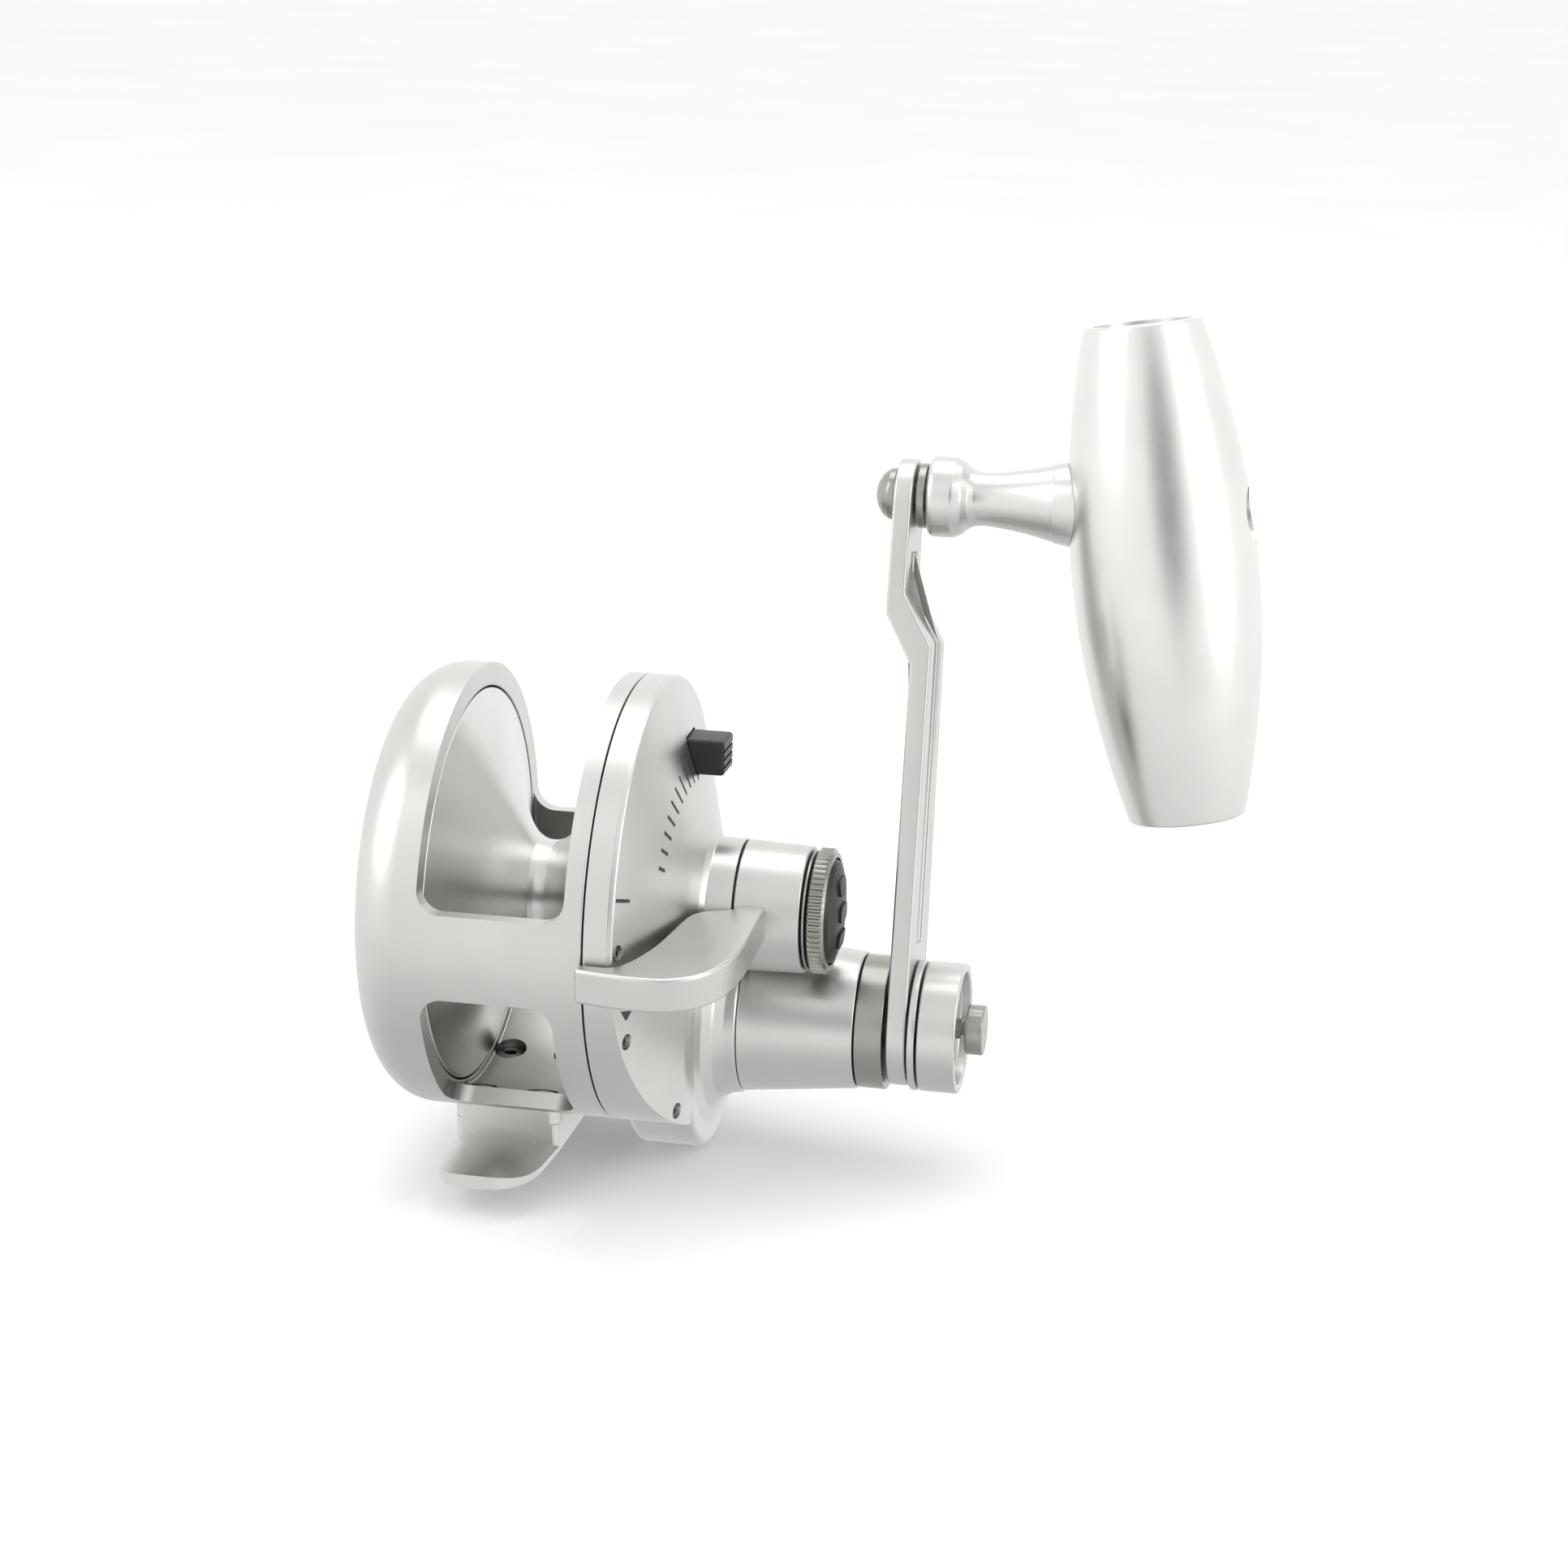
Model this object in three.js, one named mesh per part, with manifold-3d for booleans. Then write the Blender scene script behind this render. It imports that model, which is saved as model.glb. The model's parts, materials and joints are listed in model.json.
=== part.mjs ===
// Two-speed lever-drag overhead reel, right-hand drive, in millimetres, +Z up.
// X runs along the spool axis toward the crank, Y runs away from the angler, and the origin
// is the middle of the foot's underside, where the reel sits on a rod.
import * as THREE from 'three';
import { mergeVertices } from 'three/addons/utils/BufferGeometryUtils.js';
import Module from 'manifold-3d';

const wasm = await Module();
wasm.setup();

// ---------------------------------------------------------------- driving dimensions
const FIT = 0.3;                       // gap kept between separate pieces
const AXIS_HEIGHT = 39.9;              // spool axis above the foot's underside
const FOOT_X = -18;                    // middle of the foot, from the side plate seam
const BIG_SEGMENTS = 40;
const MID_SEGMENTS = 24;
const SMALL_SEGMENTS = 12;
const CURVE_STEPS = 3;

const PLATE_R = 35;                    // both side plates
const SHELL_INNER_R = 32.2;
const PLATE_FACE_X = -25.5;            // inner face of the left plate
const LEFT_END_X = -37;                // outer face of the left plate
const LEFT_ROUND = 8;                  // rounding of its outer corner
const RING_X = -2.9;                   // left edge of the frame's right ring
const SPOOL_RIM_R = 31;
const SPOOL_RECESS_R = 31.3;
const SPOOL_LEFT_X = -27.6;
const SPOOL_RIGHT_X = -0.4;
const FLANGE_LEFT_X = -25.5;
const FLANGE_RIGHT_X = -2.4;
const ARBOR_R = 7.7;
const ARBOR_BORE_R = 5.9;
const GROOVE_POWER = 2.2;
const SHAFT_R = 2.4;
const SHAFT_BORE_R = 2.7;

const HANDLE_Y = 11;                   // handle axis, from the spool axis
const HANDLE_Z = -21.45;
const LOBE_R = 22.4;                   // gear case round the handle axis
const LOBE_FACE_X = 11;                // its flat outer face
const LOBE_END_X = 16.5;
const GEAR_ROOM_R = 20.3;
const BOSS_R = 10.3;
const BOSS_END_X = 17.2;
const STEM_R = 6;
const STEM_END_X = 26.6;

const HIGH_MAIN_TEETH = 48;
const HIGH_PINION_TEETH = 12;
const LOW_MAIN_TEETH = 36;
const LOW_PINION_TEETH = 24;
const CENTRE_DISTANCE = Math.hypot(HANDLE_Y, HANDLE_Z);
const HIGH_GEAR_X = [5.9, 7.5];
const LOW_GEAR_X = [7.9, 9.5];
const RATCHET_X = [9.9, 10.9];
const RATCHET_TEETH = 12;
const RATCHET_ROOT_R = 6.4;
const RATCHET_TIP_R = 8;

const HANDLE_SHAFT_R = 4;
const SLEEVE_START_X = 16.9;
const SLEEVE_END_X = 34.7;
const RING_END_X = 39.4;
const ARM_LEAN = THREE.MathUtils.degToRad(10.61);
const ARM_LENGTH = 84;
const ARM_IN_X = 39.9;                 // lower bar, reel side
const ARM_OUT_X = 43.05;               // lower bar, outer side
const ARM_CRANK = 4.3;                 // how far the upper bar steps toward the reel
const CAP_R = 10.4;

const KNOB_X = 76.4;                   // where the barrel's axis crosses its spindle
const KNOB_TILT = THREE.MathUtils.degToRad(-8.6);
const KNOB_SPIN = THREE.MathUtils.degToRad(4.9);
const KNOB_TOP = 29;
const KNOB_BOTTOM = -48.7;
const KNOB_MAX_R = 14.6;
const KNOB_END_R = 9.1;

const LEVER_SLOPE = THREE.MathUtils.degToRad(11.3);
const LEVER_THICKNESS = 5.5;
const LEVER_TOP_Z = 8;

const SCREW_CIRCLE_R = 33.2;
const PLATE_SCREWS = [[3, 3], [-23, 3.8], [-61, 7.8], [178, 3], [148, 3]]; // angle, seat

// ---------------------------------------------------------------- materials
const metal = (color, roughness, metalness = 0.9) =>
  new THREE.MeshStandardMaterial({ color, roughness, metalness });
const ANODISED = () => metal(0xc9cbc9, 0.42);
const POLISHED = () => metal(0xdcdcda, 0.22);
const STAINLESS = () => metal(0xa9a59c, 0.35);
const BRONZE = () => metal(0xb08a4a, 0.4);
const CARBON = () => metal(0x2a2a2c, 0.7, 0.1);
const BLACK = () => metal(0x101010, 0.35, 0);

// ---------------------------------------------------------------- shape helpers
function bare(geometry) {
  const copy = geometry.clone();
  copy.deleteAttribute('normal');
  copy.deleteAttribute('uv');
  const merged = mergeVertices(copy, 1e-4);
  const index = merged.index.array;
  const kept = [];
  for (let i = 0; i < index.length; i += 3) {
    const [a, b, c] = [index[i], index[i + 1], index[i + 2]];
    if (a !== b && b !== c && c !== a) kept.push(a, b, c);
  }
  merged.setIndex(kept);
  return merged;
}

function signedVolume(geometry) {
  const p = geometry.attributes.position;
  const index = geometry.index.array;
  const [a, b, c] = [new THREE.Vector3(), new THREE.Vector3(), new THREE.Vector3()];
  let volume = 0;
  for (let i = 0; i < index.length; i += 3) {
    a.fromBufferAttribute(p, index[i]);
    b.fromBufferAttribute(p, index[i + 1]);
    c.fromBufferAttribute(p, index[i + 2]);
    volume += a.dot(b.cross(c)) / 6;
  }
  return volume;
}

function outward(geometry) {
  const g = bare(geometry);
  if (signedVolume(g) < 0) g.setIndex(Array.from(g.index.array).reverse());
  return g;
}

function solid(geometry) {
  const g = outward(geometry);
  return new wasm.Manifold(new wasm.Mesh({
    numProp: 3,
    vertProperties: new Float32Array(g.attributes.position.array),
    triVerts: new Uint32Array(g.index.array),
  }));
}

function geometryOf(manifold) {
  const mesh = manifold.getMesh();
  const g = new THREE.BufferGeometry();
  g.userData.closed = true;
  g.setAttribute('position', new THREE.BufferAttribute(new Float32Array(mesh.vertProperties), 3));
  g.setIndex(Array.from(mesh.triVerts));
  return g;
}

const joined = (first, ...others) =>
  geometryOf(others.reduce((sum, other) => sum.add(solid(other)), solid(first)));
const cut = (first, ...others) =>
  geometryOf(others.reduce((rest, other) => rest.subtract(solid(other)), solid(first)));
const shared = (first, second) => geometryOf(solid(first).intersect(solid(second)));

// A solid of revolution about X from [x, r] points.
function revolve(points, segments = MID_SEGMENTS) {
  const outline = points.map(([x, r]) => new THREE.Vector2(r, x));
  return new THREE.LatheGeometry(outline, segments).rotateZ(-Math.PI / 2);
}
const ring = (x0, x1, inner, outer, segments) =>
  revolve([[x0, inner], [x0, outer], [x1, outer], [x1, inner], [x0, inner]], segments);
const disc = (x0, x1, r, segments) => revolve([[x0, 0], [x0, r], [x1, r], [x1, 0]], segments);

// Extrusions: a shape in (y, z) along X, in (x, z) along Y, or in (x, y) along Z.
function extruded(shape, from, to, basis, bevel = 0, steps = CURVE_STEPS) {
  const geometry = new THREE.ExtrudeGeometry(shape, {
    depth: to - from - 2 * bevel,
    bevelEnabled: bevel > 0,
    bevelThickness: bevel,
    bevelSize: bevel,
    bevelOffset: -bevel,
    bevelSegments: 1,
    curveSegments: steps,
  });
  geometry.translate(0, 0, from + bevel);
  return geometry.applyMatrix4(basis);
}
const X = new THREE.Vector3(1, 0, 0);
const Y = new THREE.Vector3(0, 1, 0);
const Z = new THREE.Vector3(0, 0, 1);
const alongX = (shape, x0, x1, bevel) =>
  extruded(shape, x0, x1, new THREE.Matrix4().makeBasis(Y, Z, X), bevel);
const alongY = (shape, y0, y1, bevel) =>
  extruded(shape, -y1, -y0, new THREE.Matrix4().makeBasis(X, Z, Y.clone().negate()), bevel);
const alongZ = (shape, z0, z1, bevel, steps) =>
  extruded(shape, z0, z1, new THREE.Matrix4(), bevel, steps);

function polygon(points) {
  return new THREE.Shape(points.map(([u, v]) => new THREE.Vector2(u, v)));
}

function roundedRect(u0, v0, u1, v1, r) {
  const shape = new THREE.Shape();
  shape.moveTo(u0 + r, v0);
  shape.lineTo(u1 - r, v0);
  shape.absarc(u1 - r, v0 + r, r, -Math.PI / 2, 0, false);
  shape.lineTo(u1, v1 - r);
  shape.absarc(u1 - r, v1 - r, r, 0, Math.PI / 2, false);
  shape.lineTo(u0 + r, v1);
  shape.absarc(u0 + r, v1 - r, r, Math.PI / 2, Math.PI, false);
  shape.lineTo(u0, v0 + r);
  shape.absarc(u0 + r, v0 + r, r, Math.PI, Math.PI * 1.5, false);
  return shape;
}

// The outline round two circles, joined by their outer tangents. Circle: [u, v, r].
function twoCircleOutline([u0, v0, r0], [u1, v1, r1], steps = 10) {
  const heading = Math.atan2(v1 - v0, u1 - u0);
  const spread = Math.acos((r0 - r1) / Math.hypot(u1 - u0, v1 - v0));
  const points = [];
  for (let i = 0; i <= steps; i += 1) {
    const a = heading + spread + (2 * Math.PI - 2 * spread) * (i / steps);
    points.push([u0 + r0 * Math.cos(a), v0 + r0 * Math.sin(a)]);
  }
  for (let i = 0; i <= steps; i += 1) {
    const a = heading - spread + 2 * spread * (i / steps);
    points.push([u1 + r1 * Math.cos(a), v1 + r1 * Math.sin(a)]);
  }
  return polygon(points);
}

function box(x0, x1, y0, y1, z0, z1) {
  return new THREE.BoxGeometry(x1 - x0, y1 - y0, z1 - z0)
    .translate((x0 + x1) / 2, (y0 + y1) / 2, (z0 + z1) / 2);
}

function circlePath(r) {
  const points = [];
  for (let i = 0; i < SMALL_SEGMENTS; i += 1) {
    const a = (-i / SMALL_SEGMENTS) * 2 * Math.PI;
    points.push(new THREE.Vector2(r * Math.cos(a), r * Math.sin(a)));
  }
  return new THREE.Path(points);
}

const onHandleAxis = (geometry) => geometry.translate(0, HANDLE_Y, HANDLE_Z);

// Angle measured at the spool axis, from the angler's side (-Y) upward.
function radial(angle, r) {
  const a = THREE.MathUtils.degToRad(angle);
  return [-r * Math.cos(a), r * Math.sin(a)];
}

// A spur gear with straight-sided teeth; one tooth is centred on the direction `phase`.
function gear(teeth, [x0, x1], boreR, phase) {
  const module = (2 * CENTRE_DISTANCE) / (HIGH_MAIN_TEETH + HIGH_PINION_TEETH);
  const pitchR = (module * teeth) / 2;
  const pitch = (2 * Math.PI) / teeth;
  const steps = [[-0.3, -0.95], [-0.11, 0.7], [0.11, 0.7], [0.3, -0.95]];
  const points = [];
  for (let i = 0; i < teeth; i += 1) {
    for (const [share, rise] of steps) {
      const a = phase + (i + share) * pitch;
      const r = pitchR + rise * module;
      points.push([r * Math.cos(a), r * Math.sin(a)]);
    }
  }
  const shape = polygon(points);
  shape.holes.push(circlePath(boreR));
  return alongX(shape, x0, x1);
}

function coil(x0, x1, r, wire, turns) {
  class Helix extends THREE.Curve {
    getPoint(t, target = new THREE.Vector3()) {
      const a = t * turns * 2 * Math.PI;
      const x = THREE.MathUtils.lerp(x0 + wire, x1 - wire, t);
      return target.set(x, r * Math.cos(a), r * Math.sin(a));
    }
  }
  const section = new THREE.Shape();
  section.absarc(0, 0, wire, 0, Math.PI * 2, false);
  return new THREE.ExtrudeGeometry(section, {
    extrudePath: new Helix(), steps: turns * 8, curveSegments: 2, bevelEnabled: false,
  });
}

// ---------------------------------------------------------------- assembly
const reel = new THREE.Group();
reel.position.set(-FOOT_X, 0, AXIS_HEIGHT);
const handleAxis = new THREE.Group();
handleAxis.position.set(0, HANDLE_Y, HANDLE_Z);
const crank = new THREE.Group();
crank.rotation.x = -ARM_LEAN;
const spindle = new THREE.Group();
spindle.position.z = ARM_LENGTH;
const knob = new THREE.Group();
knob.position.x = KNOB_X;
knob.rotation.set(ARM_LEAN - KNOB_SPIN, KNOB_TILT, 0);
spindle.add(knob);
crank.add(spindle);
handleAxis.add(crank);
reel.add(handleAxis);

function add(parent, name, geometry, material) {
  const mesh = new THREE.Mesh(geometry.userData.closed ? geometry : outward(geometry), material);
  mesh.geometry.computeVertexNormals();
  mesh.name = name;
  parent.add(mesh);
}

// ---------------------------------------------------------------- frame and foot
function frameBlank() {
  const corner = [];
  for (let i = 0; i <= 5; i += 1) {
    const a = (i / 5) * (Math.PI / 2);
    corner.push([
      LEFT_END_X + LEFT_ROUND * (1 - Math.sin(a)),
      PLATE_R - LEFT_ROUND * (1 - Math.cos(a)),
    ]);
  }
  return revolve([
    [LEFT_END_X, 0], ...corner.reverse(), [0, PLATE_R], [0, SHELL_INNER_R],
    [PLATE_FACE_X, SHELL_INNER_R], [PLATE_FACE_X, SPOOL_RECESS_R], [-28.4, SPOOL_RECESS_R],
    [-28.4, 27], [-33.4, 27], [-33.4, 6.4], [-35.8, 6.4], [-35.8, 0],
  ], BIG_SEGMENTS);
}

function topOpening() {
  const opening = roundedRect(PLATE_FACE_X, 4.3, RING_X, 90, 3.6);
  return alongY(opening, -60, 60).rotateX(-0.04);
}

function lowerWindow() {
  const [middle, halfChord] = [-36.2, 13.9];
  const opening = roundedRect(-25.3, -halfChord, -4.8, halfChord, 3.6);
  return alongY(opening, -60, -20).rotateX(THREE.MathUtils.degToRad(-middle));
}

const footScrewSpots = [[-5, -8.6], [5, -8.6], [-5, 8.6], [5, 8.6]].map(([x, y]) => [FOOT_X + x, y]);

function vertical(profile, x, y, segments = 8) {
  const outline = profile.map(([z, r]) => new THREE.Vector2(r, z));
  return new THREE.LatheGeometry(outline, segments).rotateX(Math.PI / 2).translate(x, y, 0);
}

function footScrewHoles(head, shank, bottom) {
  return footScrewSpots.map(([x, y]) =>
    vertical([[bottom, 0], [bottom, shank], [-33.3, shank], [-33.3, head], [-24, head], [-24, 0]], x, y));
}

function plateScrewHoles() {
  return PLATE_SCREWS.map(([angle, seat]) => {
    const [y, z] = radial(angle, SCREW_CIRCLE_R);
    const hole = revolve([[-1, 0], [-1, 1.15], [seat, 1.15], [seat, 1.7], [13, 1.7], [13, 0]],
      SMALL_SEGMENTS);
    return hole.translate(0, y, z);
  });
}

const frameScrewHoles = () => PLATE_SCREWS.map(([angle]) => {
  const [y, z] = radial(angle, SCREW_CIRCLE_R);
  return disc(-2.6, 2, 0.85, SMALL_SEGMENTS).translate(0, y, z);
});

const pedestal = alongZ(roundedRect(-26.6, -11.8, -9.4, 11.8, 2), -35.2, -32.6);
add(reel, 'frame', cut(joined(frameBlank(), pedestal), topOpening(), lowerWindow(),
  ...footScrewHoles(2.6, 1.5, -40), ...frameScrewHoles()), ANODISED());

function footTongue(side) {
  const half = 8.4;
  const top = [];
  const under = [];
  for (let i = 0; i <= 6; i += 1) {
    const u = -1 + i / 3;
    top.push([FOOT_X + half * u, -36.7 - 2.3 * u * u]);
    under.push([FOOT_X - half * u, -38.9 - 0.98 * u * u]);
  }
  const length = alongY(polygon([...top, ...under]), side > 0 ? 11 : -31, side > 0 ? 31 : -11);
  const plan = new THREE.Shape();
  const [y0, y1] = [side * 11, side * 31];
  plan.moveTo(FOOT_X - half, y0);
  plan.lineTo(FOOT_X + half, y0);
  plan.lineTo(FOOT_X + half - 0.4, side * 20);
  plan.bezierCurveTo(FOOT_X + half - 1, side * 28, FOOT_X + 4, y1, FOOT_X, y1);
  plan.bezierCurveTo(FOOT_X - 4, y1, FOOT_X - half + 1, side * 28, FOOT_X - half + 0.4, side * 20);
  return shared(length, alongZ(plan, -45, -30, 0, 4));
}

const footBlock = alongZ(roundedRect(-26.4, -11.6, -9.6, 11.6, 1.2), -AXIS_HEIGHT, -35.5);
add(reel, 'foot', cut(joined(footBlock, footTongue(-1), footTongue(1)),
  ...footScrewHoles(1.5, 1.5, -38.8)), ANODISED());

footScrewSpots.forEach(([x, y], i) => {
  const top = -31.6;
  const head = vertical([[-38.4, 0], [-38.4, 1.2], [-33, 1.2], [-33, 2.3], [top, 2.3], [top, 0]], x, y);
  const socket = vertical([[top - 0.9, 0], [top - 0.9, 1.15], [top + 1, 1.15], [top + 1, 0]], x, y, 6);
  add(reel, `foot_screw_${i + 1}`, cut(head, socket), STAINLESS());
});

// ---------------------------------------------------------------- right side plate and gear case
const CONE = [[4.6, 34.7], [7.15, 27], [11.1, 14.2]];

function sidePlateOuter() {
  const shell = revolve([
    [FIT, 0], [FIT, PLATE_R], [3.84, PLATE_R], ...CONE,
    [11.2, 13.5], [12.6, 10.7], [13.1, BOSS_R], [BOSS_END_X, BOSS_R], [BOSS_END_X, STEM_R],
    [STEM_END_X, STEM_R], [STEM_END_X, 0],
  ], BIG_SEGMENTS);
  const lobe = revolve([
    [0.4, 0], [0.4, LOBE_R - 1.4], [1.6, LOBE_R], [9.8, LOBE_R], [10.7, LOBE_R - 0.5],
    [LOBE_FACE_X, LOBE_R - 1.4], [11.1, 19], [11.6, 16.8], [12.8, 14.8], [14.6, 13.5], [16.2, 13.2],
    [LOBE_END_X, 12.9], [LOBE_END_X, 0],
  ], BIG_SEGMENTS);
  return joined(shell, onHandleAxis(lobe), caseFront());
}

// Below the spool axis the cone's front line runs straight down to the rim, to a ridge beside the lobe.
function caseFront() {
  const plan = [[0.4, -40], [3.84, -40], [3.84, -35], ...CONE.map(([x, r]) => [x, -r]), [11.3, -13],
    [11.3, -9.5], [10.6, -7], [0.4, -7]];
  return shared(disc(0.4, 12, PLATE_R, BIG_SEGMENTS), alongZ(polygon(plan), -36, 0));
}

function sidePlateInner() {
  const cone = revolve([[-1, 0], [-1, 31.4], [3.9, 31.4], [3.9, 27.4], [5.9, 27.4],
    [6.6, 27.3], [9.3, 14.2], [9.3, 0]],
    BIG_SEGMENTS);
  const gears = onHandleAxis(disc(-1, 7.8, GEAR_ROOM_R, BIG_SEGMENTS));
  const lowGear = onHandleAxis(disc(5, 9.8, 15.4, MID_SEGMENTS));
  const ratchet = onHandleAxis(disc(5, 11.2, 13.7, MID_SEGMENTS));
  return joined(cone, gears, lowGear, ratchet, disc(5, 9.9, 10.8, MID_SEGMENTS), disc(9, 13.4, 6.5));
}

// Where each anti-reverse dog turns: [y, z, angle] round the handle axis.
const DOG_PIVOT_R = 11.2;
const DOG_TIP_R = 8.9;
const DOG_REACH = THREE.MathUtils.degToRad(28);
const dogAngles = [-85.5, 4.5].map(THREE.MathUtils.degToRad);
const dogPivots = dogAngles.map((a) => [
  HANDLE_Y + DOG_PIVOT_R * Math.cos(a), HANDLE_Z + DOG_PIVOT_R * Math.sin(a),
]);
const strikeWindow = (grow) => box(-1, 20, 0.4 - grow, 7.4 + grow, 20.2 - grow, 25.8 + grow);

add(reel, 'side_plate', cut(
  sidePlateOuter(), sidePlateInner(), disc(10, 30, 3.6, SMALL_SEGMENTS),
  onHandleAxis(disc(10, 20, 4.6, SMALL_SEGMENTS)), strikeWindow(FIT),
  ...dogPivots.map(([y, z]) => disc(11, 13.5, 1.3, 12).translate(0, y, z)),
  ...plateScrewHoles(),
), ANODISED());

PLATE_SCREWS.forEach(([angle, seat], i) => {
  const [y, z] = radial(angle, SCREW_CIRCLE_R);
  const body = revolve([[-2.2, 0], [-2.2, 0.55], [0.1, 0.55], [0.1, 0.8], [seat + 0.3, 0.8],
    [seat + 0.3, 1.4], [seat + 1.7, 1.4], [seat + 1.7, 0]], 12);
  const socket = disc(seat + 0.9, seat + 2.4, 0.75, 6);
  add(reel, `side_plate_screw_${i + 1}`, cut(body, socket).translate(0, y, z), STAINLESS());
});

// Closes the gear room; its thick lip fills the lobe beyond the frame's ring.
function bridgePlate() {
  const lip = cut(onHandleAxis(disc(0.9, 4.5, GEAR_ROOM_R - FIT, BIG_SEGMENTS)),
    disc(0, 10, 28, BIG_SEGMENTS));
  const floor = onHandleAxis(disc(3.6, 5.6, GEAR_ROOM_R - FIT, BIG_SEGMENTS));
  return cut(joined(disc(3.6, 5.6, 27, BIG_SEGMENTS), floor, lip), disc(0, 10, 6, MID_SEGMENTS),
    onHandleAxis(disc(0, 10, 6.3, MID_SEGMENTS)), box(4.1, 8, -0.9, 8.7, 18.9, 27.1),
    disc(0, 8, 1.8, SMALL_SEGMENTS).translate(0, 3.9, 23));
}
add(reel, 'bridge_plate', bridgePlate(), ANODISED());

// ---------------------------------------------------------------- spool and drag stack
function spoolProfile() {
  const groove = [];
  const middle = (FLANGE_LEFT_X + FLANGE_RIGHT_X) / 2;
  const half = (FLANGE_RIGHT_X - FLANGE_LEFT_X) / 2;
  for (let i = 0; i <= 10; i += 1) {
    const u = -Math.cos((i / 10) * Math.PI);
    const r = ARBOR_R + (SPOOL_RIM_R - ARBOR_R) * Math.abs(u) ** GROOVE_POWER;
    groove.push([middle + half * u, r]);
  }
  return [[SPOOL_LEFT_X, ARBOR_BORE_R], [SPOOL_LEFT_X, SPOOL_RIM_R], ...groove,
    [SPOOL_RIGHT_X, SPOOL_RIM_R], [SPOOL_RIGHT_X, ARBOR_BORE_R], [SPOOL_LEFT_X, ARBOR_BORE_R]];
}

add(reel, 'spool', revolve(spoolProfile(), BIG_SEGMENTS), POLISHED());
add(reel, 'spool_bearing_left', ring(-27.2, -24.6, SHAFT_BORE_R, 5.6, SMALL_SEGMENTS), STAINLESS());
add(reel, 'spool_bearing_right', ring(-3.4, -0.8, SHAFT_BORE_R, 5.6, SMALL_SEGMENTS), STAINLESS());
add(reel, 'drag_washer_left', ring(-29.1, -27.9, 10, 24, MID_SEGMENTS), CARBON());
add(reel, 'drag_washer_right', ring(-0.1, 1.1, 10, 24, MID_SEGMENTS), CARBON());
add(reel, 'drag_plate_left', revolve([[-31.2, SHAFT_BORE_R], [-31.2, 25], [-29.4, 25], [-29.4, 9],
  [-28.4, 8], [-28.4, SHAFT_BORE_R], [-31.2, SHAFT_BORE_R]]), STAINLESS());
add(reel, 'drag_plate_right', revolve([[1.4, SHAFT_BORE_R], [1.4, 25], [2.9, 25], [2.9, 5.4],
  [5.6, 5.4], [5.6, SHAFT_BORE_R], [1.4, SHAFT_BORE_R]]), STAINLESS());
add(reel, 'spool_shaft', disc(-35.3, 29.2, SHAFT_R, SMALL_SEGMENTS), STAINLESS());
add(reel, 'shaft_bearing_left', ring(-35.5, -33.7, SHAFT_BORE_R, 6.1, SMALL_SEGMENTS), STAINLESS());
add(reel, 'shaft_bearing_right', ring(10.3, 13.1, SHAFT_BORE_R, 6.2, SMALL_SEGMENTS), STAINLESS());

// ---------------------------------------------------------------- gears and anti-reverse
const meshLine = Math.atan2(-HANDLE_Z, -HANDLE_Y);
const pinionPhase = (teeth) => meshLine + Math.PI + Math.PI / teeth;
add(reel, 'pinion_high', gear(HIGH_PINION_TEETH, HIGH_GEAR_X, SHAFT_BORE_R, pinionPhase(HIGH_PINION_TEETH)),
  STAINLESS());
add(reel, 'pinion_low', gear(LOW_PINION_TEETH, LOW_GEAR_X, SHAFT_BORE_R, pinionPhase(LOW_PINION_TEETH)),
  STAINLESS());
add(handleAxis, 'main_gear_high', gear(HIGH_MAIN_TEETH, HIGH_GEAR_X, 4.3, meshLine), BRONZE());
add(handleAxis, 'main_gear_low', gear(LOW_MAIN_TEETH, LOW_GEAR_X, 4.3, meshLine), BRONZE());

function ratchetWheel() {
  const points = [];
  for (let i = 0; i < RATCHET_TEETH; i += 1) {
    const a = (i / RATCHET_TEETH) * 2 * Math.PI;
    const next = a + (2 * Math.PI) / RATCHET_TEETH - 0.03;
    points.push([RATCHET_ROOT_R * Math.cos(a), RATCHET_ROOT_R * Math.sin(a)]);
    points.push([RATCHET_TIP_R * Math.cos(next), RATCHET_TIP_R * Math.sin(next)]);
  }
  const shape = polygon(points);
  shape.holes.push(circlePath(HANDLE_SHAFT_R + FIT));
  return alongX(shape, ...RATCHET_X);
}
add(handleAxis, 'ratchet_wheel', ratchetWheel(), STAINLESS());

// Lifted just clear of the ratchet, as when winding; swinging inward they catch a tooth.
dogAngles.forEach((a, i) => {
  const pivot = [DOG_PIVOT_R * Math.cos(a), DOG_PIVOT_R * Math.sin(a)];
  const tip = [DOG_TIP_R * Math.cos(a - DOG_REACH), DOG_TIP_R * Math.sin(a - DOG_REACH)];
  const pawl = alongX(twoCircleOutline([...pivot, 2], [...tip, 0.6], 6), ...RATCHET_X);
  const pin = disc(10.5, 13.2, 1, 12).translate(0, ...pivot);
  add(handleAxis, `antireverse_dog_${i + 1}`, joined(pawl, pin), STAINLESS());
});

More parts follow.
